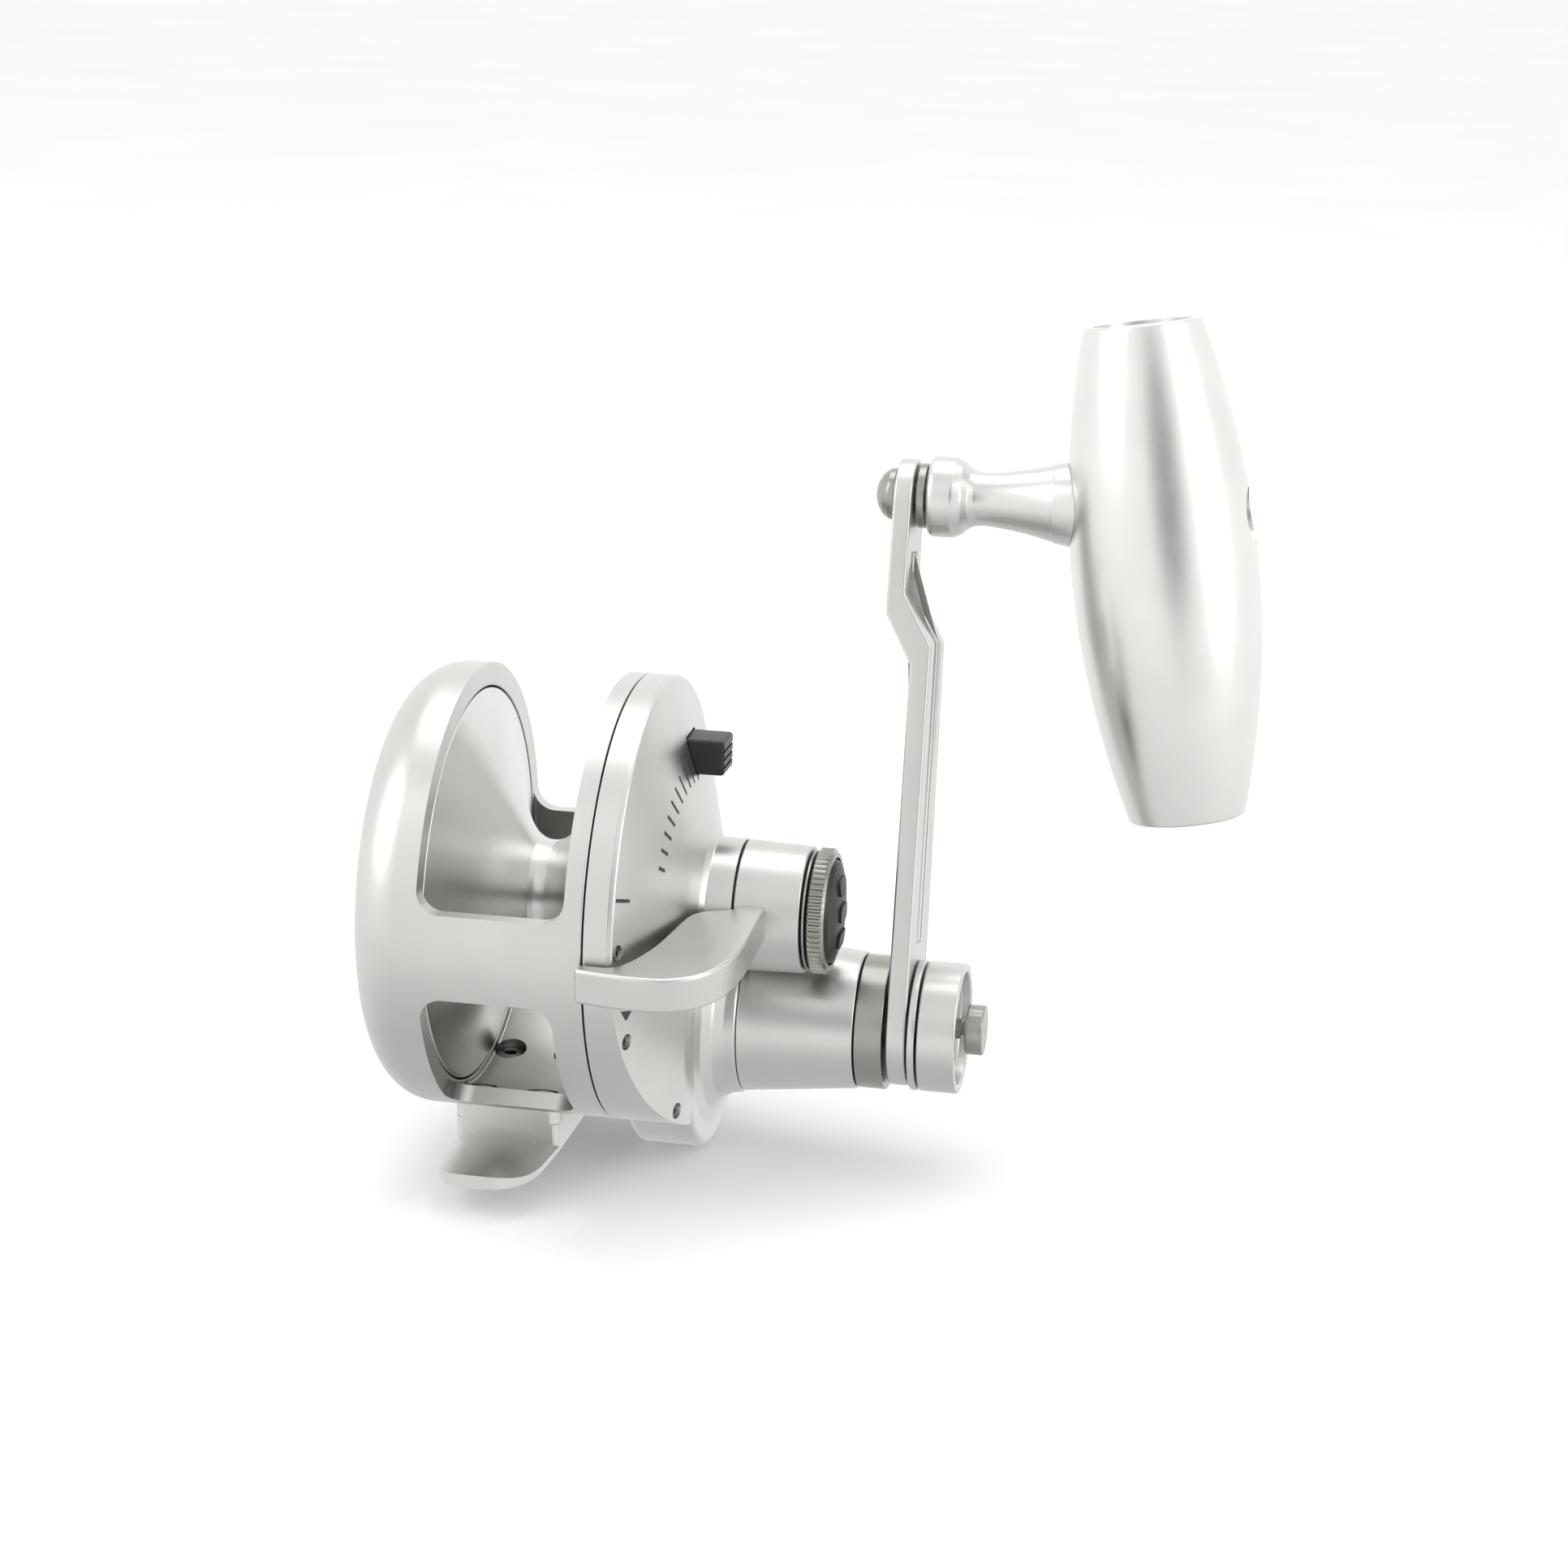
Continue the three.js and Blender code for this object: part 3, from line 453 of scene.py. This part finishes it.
# ------------------------------------------------------------------ frame, foot and their screws
def on_plate(angle, r):
    """(y, z) at an angle from the angler's side (-Y) upward, round the spool axis."""
    a = math.radians(angle)
    return -r * math.cos(a), r * math.sin(a)


def upright(profile, x, y):
    """A turned piece on a vertical axis, from (z, r) points."""
    return shifted(move(lathe(profile, ROUGH), UPRIGHT), x, y, 0)


FOOT_SCREWS = [(FOOT_X + dx, dy) for dy in (-8.6, 8.6) for dx in (-5, 5)]


def frame_shell():
    left, corner_r = -37, 8
    corner = []
    for k in range(17):
        a = math.radians(90 * k / 16)
        corner.append((left + corner_r * (1 - math.cos(a)), PLATE_R - corner_r * (1 - math.sin(a))))
    rim = soften([(-29, PLATE_R), (0, PLATE_R), (0, 32.2), (-25.5, 32.2), (-25.5, 31.3), (-28.4, 31.3),
                  (-28.4, 27), (-33.4, 27), (-33.4, 6.4), (-35.8, 6.4), (-35.8, 0)], 0.3)
    shell = lathe([(left, 0), (left, 20.5), (left + 0.35, 20.9), (left, 21.3), *corner, *rim[1:]], LARGE)
    return join(shell, prism(rounded_rect(-26.6, -11.8, -9.4, 11.8, 2), -35.2, -32.6, "Z"))


def frame_piece():
    top = move(prism(rounded_rect(-25.5, 4.3, -2.9, 90, 3.6), -60, 60, "Y"), Matrix.Rotation(-0.04, 4, "X"))
    window = move(prism(rounded_rect(-25.3, -13.9, -4.8, 13.9, 3.6), -60, -20, "Y"),
                  Matrix.Rotation(math.radians(36.2), 4, "X"))
    shell = round_edges(cut(frame_shell(), top, window), 0.8)
    holes = [upright([(-40, 0), (-40, 1.5), (-33.3, 1.5), (-33.3, 2.6), (-24, 2.6), (-24, 0)], x, y)
             for x, y in FOOT_SCREWS]
    return cut(shell, *holes)


piece("frame_body", frame_piece(), REEL, anodised, "housing", "anodised_aluminium", "frame")


def tongue(side):
    """An arched tongue of the foot, toward -Y for side -1 and toward +Y for side 1."""
    half, steps = 8.4, 16
    across = [2 * k / steps - 1 for k in range(steps + 1)]
    arch = [(FOOT_X + half * u, -36.7 - 2.3 * u ** 2) for u in across]
    under = [(FOOT_X - half * u, -38.9 - 0.98 * u ** 2) for u in across]
    low, high = sorted((side * 11, side * 31))
    length = prism([*arch, *under], low, high, "Y")
    tip, waist = side * 31, side * 28
    plan = [(FOOT_X - half, side * 11), (FOOT_X + half, side * 11), (FOOT_X + half - 0.4, side * 20)]
    plan += bezier(plan[-1], (FOOT_X + half - 1, waist), (FOOT_X + 4, tip), (FOOT_X, tip), steps=12)
    plan += bezier(plan[-1], (FOOT_X - 4, tip), (FOOT_X - half + 1, waist), (FOOT_X - half + 0.4, side * 20),
                   steps=12)
    return common(length, prism(plan, -45, -30, "Z"))


def foot_piece():
    block = prism(rounded_rect(-26.4, -11.6, -9.6, 11.6, 1.2), -AXIS_HEIGHT, -35.25, "Z")
    whole = round_edges(join(block, tongue(-1), tongue(1)), 0.3, 40)
    hole = [(-38.8, 0), (-38.8, 1.5), (-30, 1.5), (-30, 0)]
    return cut(whole, *[upright(hole, x, y) for x, y in FOOT_SCREWS])


piece("foot_body", foot_piece(), REEL, anodised, "housing", "anodised_aluminium", "foot")


def socket_screw(profile, socket_r, depth):
    """A turned screw, head at the last point, with a hexagonal socket."""
    top = profile[-1][0]
    return cut(lathe(soften(profile, 0.2), SCREW), cylinder(top - depth, top + 1, socket_r, HEXAGON))


for number, (x, y) in enumerate(FOOT_SCREWS, 1):
    profile = [(-38.4, 0), (-38.4, 1.2), (-33, 1.2), (-33, 2.3), (-31.6, 2.3), (-31.6, 0)]
    screw = socket_screw(profile, 1.15, 0.9)
    screw = shifted(move(screw, UPRIGHT), x, y, 0)
    piece(f"foot_socket_screw_{number}", screw, REEL, steel, "housing", "stainless_steel",
          f"foot_screw_{number}")


# ------------------------------------------------------------------ side plate
def case_front():
    """Below the spool axis the cone's front line runs straight down, to a ridge beside the lobe."""
    rim = lathe(soften([(0.4, 0), (0.4, PLATE_R), (12, PLATE_R), (12, 0)], 0.8), LARGE)
    plan = soften([(0.4, -7), (0.4, -40), (3.84, -40), (3.84, -35), *[(x, -r) for x, r in CONE[2:]],
                   (11.3, -12.6), (11.3, -9.6), (10.4, -7), (0.4, -7)], 0.9, 4)
    return common(rim, prism(plan[:-1], -36, 0, "Z"))


def side_plate_piece():
    outer = soften([*CONE, (11.3, 13.5), (12.3, 11.2), (13.1, BOSS_R), (17.2, BOSS_R)], 0.5)
    inner = [(17.2, 6), (26.6, 6), (26.6, SHAFT_BORE), (13.4, SHAFT_BORE),
             (13.4, BEARING_ROOM), (9.9, BEARING_ROOM), (9.9, 10.8), (9.3, 10.8),
             (9.3, 14.2), (6.6, 27.3), (5.9, 27.4), (3.9, 27.4), (3.9, 31.4), (0.3, 31.4)]
    shell = lathe([*outer, *inner, outer[0]], LARGE)
    lobe = soften([(0.4, 0), (0.4, LOBE_R), (11, LOBE_R), (11, 18.5), (11.6, 16.2), (13, 14.3), (14.8, 13.4),
                   (16.2, 13.2), (16.5, 12.9), (16.5, 0)], 1.6, 6)
    lobe = lathe(lobe, LARGE)
    plate = join(shell, move(lobe, IN_HANDLE), case_front())
    room = [move(cylinder(-1, 7.8, 20.3, MIDDLE), IN_HANDLE), move(cylinder(5, 9.8, 15.4, MIDDLE), IN_HANDLE),
            move(cylinder(5, 11.2, 13.7, MIDDLE), IN_HANDLE), move(cylinder(10, 20, 4.6), IN_HANDLE),
            cylinder(10, 30, SHAFT_BORE)]
    seats = []
    for angle, seat in PLATE_SCREWS:
        seats.append(shifted(cylinder(-1, seat, 0.9), 0, *on_plate(angle, SCREW_R)))
        seats.append(shifted(cylinder(seat - 0.1, 13, 1.25), 0, *on_plate(angle, SCREW_R)))
    window = prism(rounded_rect(0.1, 19.9, 7.7, 26.1, 0.8), -1, 20, "X")
    return cut(plate, *room, window, *seats)


piece("side_plate_body", side_plate_piece(), REEL, anodised_cone, "housing", "anodised_aluminium",
      "side_plate")

for number, (angle, seat) in enumerate(PLATE_SCREWS, 1):
    profile = [(-2.2, 0), (-2.2, 0.55), (0.1, 0.55), (0.1, 0.8), (seat + 0.1, 0.8), (seat + 0.1, 1.15),
               (seat + 1.6, 1.15), (seat + 1.6, 0)]
    screw = shifted(socket_screw(profile, 0.6, 0.8), 0, *on_plate(angle, SCREW_R))
    piece(f"plate_screw_{number}", screw, REEL, steel_dark, "housing", "stainless_steel",
          f"side_plate_screw_{number}")


def face_x(y, z):
    """The side plate's outer face at a place on its front half."""
    r = abs(y) if z < 0 else math.hypot(y, z)
    for (x0, r0), (x1, r1) in zip(CONE, CONE[1:]):
        if r1 <= r <= r0 and r0 > r1:
            return x0 + (x1 - x0) * (r0 - r) / (r0 - r1)
    return CONE[-1][0]


def inlay(corners, steps=4):
    """A dark filled mark on the cone, from four (angle, radius) corners."""
    bm = bmesh.new()
    layers = []
    for lift in (0.02, -0.12):
        rows = []
        for i in range(steps + 1):
            row = []
            for j in range(steps + 1):
                s, t = i / steps, j / steps
                near = [corners[0][k] * (1 - s) + corners[1][k] * s for k in (0, 1)]
                far = [corners[3][k] * (1 - s) + corners[2][k] * s for k in (0, 1)]
                angle, r = (near[k] * (1 - t) + far[k] * t for k in (0, 1))
                y, z = on_plate(angle, r)
                row.append(bm.verts.new((face_x(y, z) + lift, y, z)))
            rows.append(row)
        layers.append(rows)
    top, under = layers
    for i in range(steps):
        for j in range(steps):
            for rows in layers:
                bm.faces.new((rows[i][j], rows[i + 1][j], rows[i + 1][j + 1], rows[i][j + 1]))
    edge = ([(i, 0) for i in range(steps)] + [(steps, j) for j in range(steps)]
            + [(i, steps) for i in range(steps, 0, -1)] + [(0, j) for j in range(steps, 0, -1)])
    for k, (i, j) in enumerate(edge):
        m, n = edge[(k + 1) % len(edge)]
        bm.faces.new((top[i][j], top[m][n], under[m][n], under[i][j]))
    return new_object(bm)


def tick(angle, r0, r1, width):
    """Corners of a straight mark from r0 to r1, width in millimetres."""
    half = math.degrees(width / 2 / r0)
    return [(angle - half, r0), (angle + half, r0), (angle + half, r1), (angle - half, r1)]


MARKS = [tick(16.6, 34.3, 30.6, 0.6), [(-13.3, 33.1), (-16, 30.4), (-17.2, 31.9), (-17, 32.3)]]
MARKS += [tick(29 + 7 * k, 23.4, 21.6 - 0.24 * k, 0.6) for k in range(10)]
for number, corners in enumerate(MARKS, 1):
    piece(f"plate_mark_{number}", inlay(corners), REEL, ink, "housing", "black_plastic")


# ------------------------------------------------------------------ spool
def spool_piece():
    groove = []
    low, high, arbor, rim = -25.5, -2.4, 7.7, 31
    middle, half = (low + high) / 2, (high - low) / 2
    for k in range(1, 40):
        u = -math.cos(math.pi * k / 40)
        groove.append((middle + half * u, arbor + (rim - 0.25 - arbor) * abs(u) ** 2.2))
    outline = [(-27.6, 5.9), (-27.6, rim), (low - 0.1, rim), *groove, (high + 0.1, rim), (-0.4, rim),
               (-0.4, 5.9), (-27.6, 5.9)]
    return lathe(soften(outline, 0.35), LARGE)


piece("spool_body_turned", spool_piece(), REEL, polished_spool, "spool_body", "polished_aluminium", "spool")

# ------------------------------------------------------------------ handle sleeve and crank
sleeve = [(16.56, 8.2), (16.56, 12.9), (18.1, 12.72), (34.8, 10.95), (34.8, 8.2), (16.56, 8.2)]
piece("handle_sleeve_turned", lathe(soften(sleeve, 0.25)), HANDLE, anodised_handle, "housing",
      "anodised_aluminium", "handle_sleeve")
collar = [(35, 8), (35, 10.7), (39.4, 10.7), (39.4, 4.6), (38.5, 4.6), (38.5, 8), (35, 8)]
piece("sleeve_collar", lathe(soften(collar, 0.25)), HANDLE, steel_handle, "housing", "stainless_steel",
      "sleeve_ring")


def crank_arm_piece():
    low, high, slant = 57.7, 65.5, 3.2
    outer = ARM_OUT_X - 0.3 - ARM_CRANK
    side = [(ARM_IN_X, -12), (ARM_OUT_X, -12), (ARM_OUT_X, low + slant), (outer, high + slant), (outer, 93),
            (ARM_IN_X - ARM_CRANK, 93), (ARM_IN_X - ARM_CRANK, high), (ARM_IN_X, low)]
    bar = common(prism(side, -15, 15, "Y"), prism(two_circles(ARM_LENGTH - 1.4, 9.8, 7.1), 30, 60, "X"))
    path = [(ARM_OUT_X - 0.8, 13), (ARM_OUT_X + 9, 13), (ARM_OUT_X + 9, 75), (outer - 0.8, 75),
            (outer - 0.8, high + slant), (ARM_OUT_X - 0.8, low + slant)]
    bar = cut(bar, prism(path, -3.4, 3.4, "Y"))
    bar = round_edges(bar, 0.45, 30)
    return cut(bar, cylinder(30, 60, CRANK_BORE), shifted(cylinder(30, 60, SPINDLE_BORE), 0, 0, ARM_LENGTH))


piece("crank_arm_bar", crank_arm_piece(), CRANK, anodised, "crank_body", "anodised_aluminium", "crank_arm")
piece("crank_spacer", tube(43.4, 44.55, CRANK_BORE, 10.4, 0.2), CRANK, anodised_handle, "crank_body",
      "anodised_aluminium", "crank_washer")
cap = lathe(soften([(44.9, 4.4), (44.9, 10.4), (50.9, 10.4), (50.9, 9), (49.2, 8.8), (49.2, 1.8), (47.6, 1.8),
                    (47.6, 4.4), (44.9, 4.4)], 0.35))
piece("crank_end_cap", cap, CRANK, anodised_handle, "crank_body", "anodised_aluminium", "crank_cap")
button = [(10, 0), (10, 1.4), (49.8, 1.4), (49.8, 1.1), (51.6, 1.1), (51.6, 4), (54.4, 4), (54.4, 0)]
button = join(lathe(soften(button, 0.35), MIDDLE), cylinder(49.85, 50.8, 1.75, HEXAGON))
piece("speed_button", button, CRANK, steel_handle, "speed_selector", "stainless_steel", "shift_button")


# ------------------------------------------------------------------ grip
def barrel(grow=0.0):
    middle, half = (KNOB_TOP + KNOB_BOTTOM) / 2, (KNOB_TOP - KNOB_BOTTOM) / 2
    side = []
    for k in range(41):
        u = -1 + k / 20
        side.append((middle + half * u, KNOB_MAX_R - (KNOB_MAX_R - KNOB_END_R) * abs(u) ** 1.95 + grow))
    outline = [(KNOB_BOTTOM - grow, 0), *side, (KNOB_TOP + grow, 0)]
    return move(lathe(soften(outline, 0.6, 4)), UPRIGHT)


def grip_piece():
    hole = [move(cylinder(x0 - KNOB_X, x1 - KNOB_X, r), KNOB_TURN.to_3x3().to_4x4().inverted())
            for x0, x1, r in ((69, 100, 4.4), (50, 80, 2.7))]
    dish = move(lathe([(KNOB_TOP - 0.9, 0), (KNOB_TOP - 0.9, 7), (KNOB_TOP - 0.5, 7.6), (KNOB_TOP + 1, 7.6),
                       (KNOB_TOP + 1, 0)]), UPRIGHT)
    return cut(barrel(), dish, *hole)


piece("grip_barrel", grip_piece(), SPINDLE @ KNOB_TURN, polished_knob, "knob_body", "polished_aluminium",
      "handle_knob")
neck = [(40.4, SPINDLE_BORE), (40.4, 6.35), (44.4, 6.35), (45.8, 5.7), (46.8, 4.75), (47.8, 4.3), (49.5, 4.2),
        (51, 4.32), (53, 4.58), (55.5, 5), (58, 5.55), (60.1, 6.1), (60.2, 6.2), (63, 6.75), (69, 7.2),
        (69, SPINDLE_BORE), (40.4, SPINDLE_BORE)]
neck = cut(lathe(soften(neck, 1.2, 5)), move(barrel(0.03), KNOB_TURN), cylinder(38, 43.3, 4.6))
piece("grip_neck", neck, SPINDLE, polished_spindle, "knob_body", "polished_aluminium", "knob_neck")
nut = lathe(soften([(31.9, 0), (32, 1.2), (32.4, 2.3), (33.1, 3.3), (34.1, 4), (35.3, 4.2), (35.3, 2.7),
                      (33.3, 2.7), (33.3, 0)], 0.5), SMALL)
piece("spindle_nut", nut, SPINDLE, steel, "crank_body", "stainless_steel", "axle_nut")
piece("spindle_washer", tube(38.8, 40.1, SPINDLE_BORE, 5.1, 0.2, SMALL), SPINDLE, steel, "crank_body",
      "stainless_steel", "axle_washer")
plug = lathe(soften([(85.4, 0), (85.4, 4.1), (89.6, 4.1), (89.6, 0)], 0.4), SMALL)
plug = cut(plug, cylinder(88.4, 91, 1.6, HEXAGON))
piece("grip_plug", plug, SPINDLE, anodised, "knob_body", "anodised_aluminium", "knob_end_plug")


# ------------------------------------------------------------------ drag lever, preset knob, strike stop
def lever_piece():
    """A level hub with a sloping arm, whose plan is drawn from above."""
    stretch = 1 / math.cos(LEVER_SLOPE)
    back_edge = [
        ((18, -10.6), (17.4, -12.4), (12.6, -11.4), (11.5, -15.9)),
        ((11.5, -15.9), (10.4, -20.6), (10, -26), (8.3, -30)),
        ((8.3, -30), (7, -33.8), (5.6, -35.9), (3.8, -36)),
    ]
    front_edge = [
        ((0.4, -36), (-0.7, -36.2), (-0.7, -38), (0.4, -38.2)),
        ((0.4, -38.2), (5, -39), (9, -39.6), (13, -39)),
        ((13, -39), (19, -37.6), (21.6, -33), (22.2, -24)),
        ((22.2, -24), (22.7, -18), (22.2, -14), (22.6, -8)),
    ]
    plan = [(18, -2), back_edge[0][0]]
    for curve in back_edge:
        plan += bezier(*curve)
    plan.append(front_edge[0][0])
    for curve in front_edge:
        plan += bezier(*curve)
    plan.append((22.6, -2))
    arm = prism([(x, y * stretch) for x, y in plan], -LEVER_THICKNESS, 0, "Z")
    arm = round_edges(arm, 0.8, 30, 4)
    arm = move(arm, Matrix.Translation((0, 0, LEVER_TOP_Z)) @ Matrix.Rotation(LEVER_SLOPE, 4, "X"))
    arm = cut(arm, cylinder(10, 30, 9.3, MIDDLE))
    hub = [(17.5, 8.9), (17.5, 10.26), (27.7, 9.93), (27.7, 3), (26.9, 3), (26.9, 6.3), (21.5, 6.3),
           (21.5, 8.9), (17.5, 8.9)]
    return join(lathe(soften(hub, 0.35)), arm)


piece("drag_lever_arm", lever_piece(), REEL, anodised, "lever", "anodised_aluminium", "drag_lever")
piece("preset_shim", tube(28, 28.4, 2.7, 9.3, 0.1), REEL, steel_spool, "preset", "stainless_steel",
      "preset_washer")
TEETH = 60


def knurl(k, x):
    """Straight teeth on the grip band of the preset knob."""
    return (-0.42 if k % 4 in (0, 1) else 0) if 29 < x < 31 else -0.15


rim = [(28.7, SPINDLE_BORE), (28.7, 9.4), (28.95, 9.7), (29.05, 9.82), (30.95, 9.82), (31.05, 9.7),
       (31.45, 9.3), (31.45, 8.6), (29.8, 8.6), (29.8, SPINDLE_BORE), (28.7, SPINDLE_BORE)]
piece("preset_wheel", lathe(rim, 4 * TEETH, knurl), REEL, steel_spool, "preset", "stainless_steel",
      "preset_knob")


def preset_cap_piece():
    def dome(grow):
        return lathe(soften([(30.1, 0), (30.1, 8.3), (31.1, 8.3), (31.9, 7.7 + grow), (32.4 + grow, 6),
                             (32.75 + grow, 3), (32.8 + grow, 0)], 0.5), MIDDLE)

    ridges = [prism(rounded_rect(-2.4, z, 2.4, z + 2.6, 0.9, 5), 31, 34, "X") for z in (-5.6, -1.3, 3)]
    return join(dome(0), common(join(*ridges), dome(0.35)))


piece("preset_end_cap", preset_cap_piece(), REEL, black, "preset", "black_plastic", "preset_cap")


def strike_piece():
    body = prism(rounded_rect(0.4, 20.2, 7.4, 25.8, 0.7, 4), 6, 13.5, "X")
    flange = prism(rounded_rect(-0.6, 19.3, 8, 25.8, 0.7, 4), 5.8, 6.25, "X")
    body = join(round_edges(body, 0.6, 40), flange)
    levels = [21.4 + 1.3 * k for k in range(3)]
    grooves = [prism(rounded_rect(-1, z, 9, z + 0.4, 0.1, 2), 13.2, 14, "X") for z in levels]
    return cut(body, shifted(cylinder(3, 12.2, 1.8), 0, 3.9, 23), *grooves)


piece("strike_stop_button", strike_piece(), REEL, black, "strike_stop", "black_plastic", "strike_button")

# ------------------------------------------------------------------ floor, light and camera
CAM_AZIMUTH = math.radians(10.94)
CAM_ELEVATION = math.radians(15.99)
CAM_ROLL = math.radians(1.29)
CAM_DISTANCE = 510.7
CAM_TARGET = Vector((41.77, -3.45, 60.87))
CAM_LENS = 76.6
SENSOR_WIDTH = 36
NEAR_CLIP = 0.01
FLOOR_SIZE = 14
FLOOR_DROP = 0.0004
STUDIO_LEVEL = 1.16
LIGHT_AIM = Vector((0.03, 0, 0.05))

camera = bpy.data.objects.new("camera", bpy.data.cameras.new("camera"))
bpy.context.scene.collection.objects.link(camera)
level_back = Vector((math.sin(CAM_AZIMUTH), -math.cos(CAM_AZIMUTH), 0))
back = level_back * math.cos(CAM_ELEVATION) + Vector((0, 0, math.sin(CAM_ELEVATION)))
right = Vector((math.cos(CAM_AZIMUTH), math.sin(CAM_AZIMUTH), 0))
up = back.cross(right)
right, up = (right * math.cos(CAM_ROLL) + up * math.sin(CAM_ROLL),
             up * math.cos(CAM_ROLL) - right * math.sin(CAM_ROLL))
pose = Matrix((right, up, back)).transposed().to_4x4()
pose.translation = (CAM_TARGET + back * CAM_DISTANCE) * MM
camera.matrix_world = pose
camera.data.sensor_width = SENSOR_WIDTH
camera.data.lens = CAM_LENS
camera.data.clip_start = NEAR_CLIP
bpy.context.scene.camera = camera

bm = bmesh.new()
bmesh.ops.create_grid(bm, x_segments=2, y_segments=2, size=FLOOR_SIZE)
floor = new_object(bm)
floor.name = "floor"
floor.location.z = cad_box[0][2] - FLOOR_DROP
paper = Shader("paper", metallic=0, specular=0.1)
paper.colour(paper.noise(8, 2), (0.93, 0.93, 0.93), (0.95, 0.95, 0.95))
paper.rough(paper.noise(40, 2), 0.85, 0.95)
floor.data.materials.append(paper.material)
floor.visible_glossy = False

world = bpy.data.worlds.new("studio")
world.use_nodes = True
bpy.context.scene.world = world
sky = world.node_tree
background = sky.nodes["Background"]
place = sky.nodes.new("ShaderNodeTexCoord")


def patch(direction, inner, outer, low, high):
    """Goes from low inside the inner angle to high outside the outer one, round a direction in degrees."""
    azimuth, elevation = (math.radians(v) for v in direction)
    toward = sky.nodes.new("ShaderNodeVectorMath")
    toward.operation = "DOT_PRODUCT"
    toward.inputs[1].default_value = (math.sin(azimuth) * math.cos(elevation),
                                      -math.cos(azimuth) * math.cos(elevation), math.sin(elevation))
    sky.links.new(place.outputs["Generated"], toward.inputs[0])
    spread = sky.nodes.new("ShaderNodeMapRange")
    spread.interpolation_type = "SMOOTHSTEP"
    spread.inputs["From Min"].default_value = math.cos(math.radians(outer))
    spread.inputs["From Max"].default_value = math.cos(math.radians(inner))
    spread.inputs["To Min"].default_value = high
    spread.inputs["To Max"].default_value = low
    sky.links.new(toward.outputs["Value"], spread.inputs["Value"])
    return spread.outputs["Result"]


# A dark card beside the camera, a dimmer ceiling and a dimmer lower half.
shades = (patch((16, 14), 4, 26, 0.28, 1), patch((0, 90), 10, 75, 0.8, 1), patch((0, -90), 20, 85, 0.6, 1))
level = None
for shade in shades:
    product = sky.nodes.new("ShaderNodeMath")
    product.operation = "MULTIPLY"
    sky.links.new(shade, product.inputs[0])
    if level:
        sky.links.new(level, product.inputs[1])
    else:
        product.inputs[1].default_value = STUDIO_LEVEL
    level = product.outputs[0]
sky.links.new(level, background.inputs["Strength"])
background.inputs["Color"].default_value = (1, 1, 0.995, 1)


def softbox(name, location, size, energy):
    light = bpy.data.lights.new(name, "AREA")
    light.shape = "RECTANGLE"
    light.size, light.size_y = size
    light.energy = energy
    lamp = bpy.data.objects.new(name, light)
    lamp.location = location
    lamp.rotation_euler = (LIGHT_AIM - Vector(location)).to_track_quat("-Z", "Y").to_euler()
    bpy.context.scene.collection.objects.link(lamp)


softbox("key", (-0.75, -0.45, 0.65), (0.6, 0.8), 3)
softbox("fill", (0.9, -0.25, 0.4), (0.5, 0.8), 2)
softbox("top", (0.05, 0.25, 0.95), (0.9, 0.6), 2.5)
bpy.context.scene.view_settings.view_transform = "Standard"

bpy.context.view_layer.update()
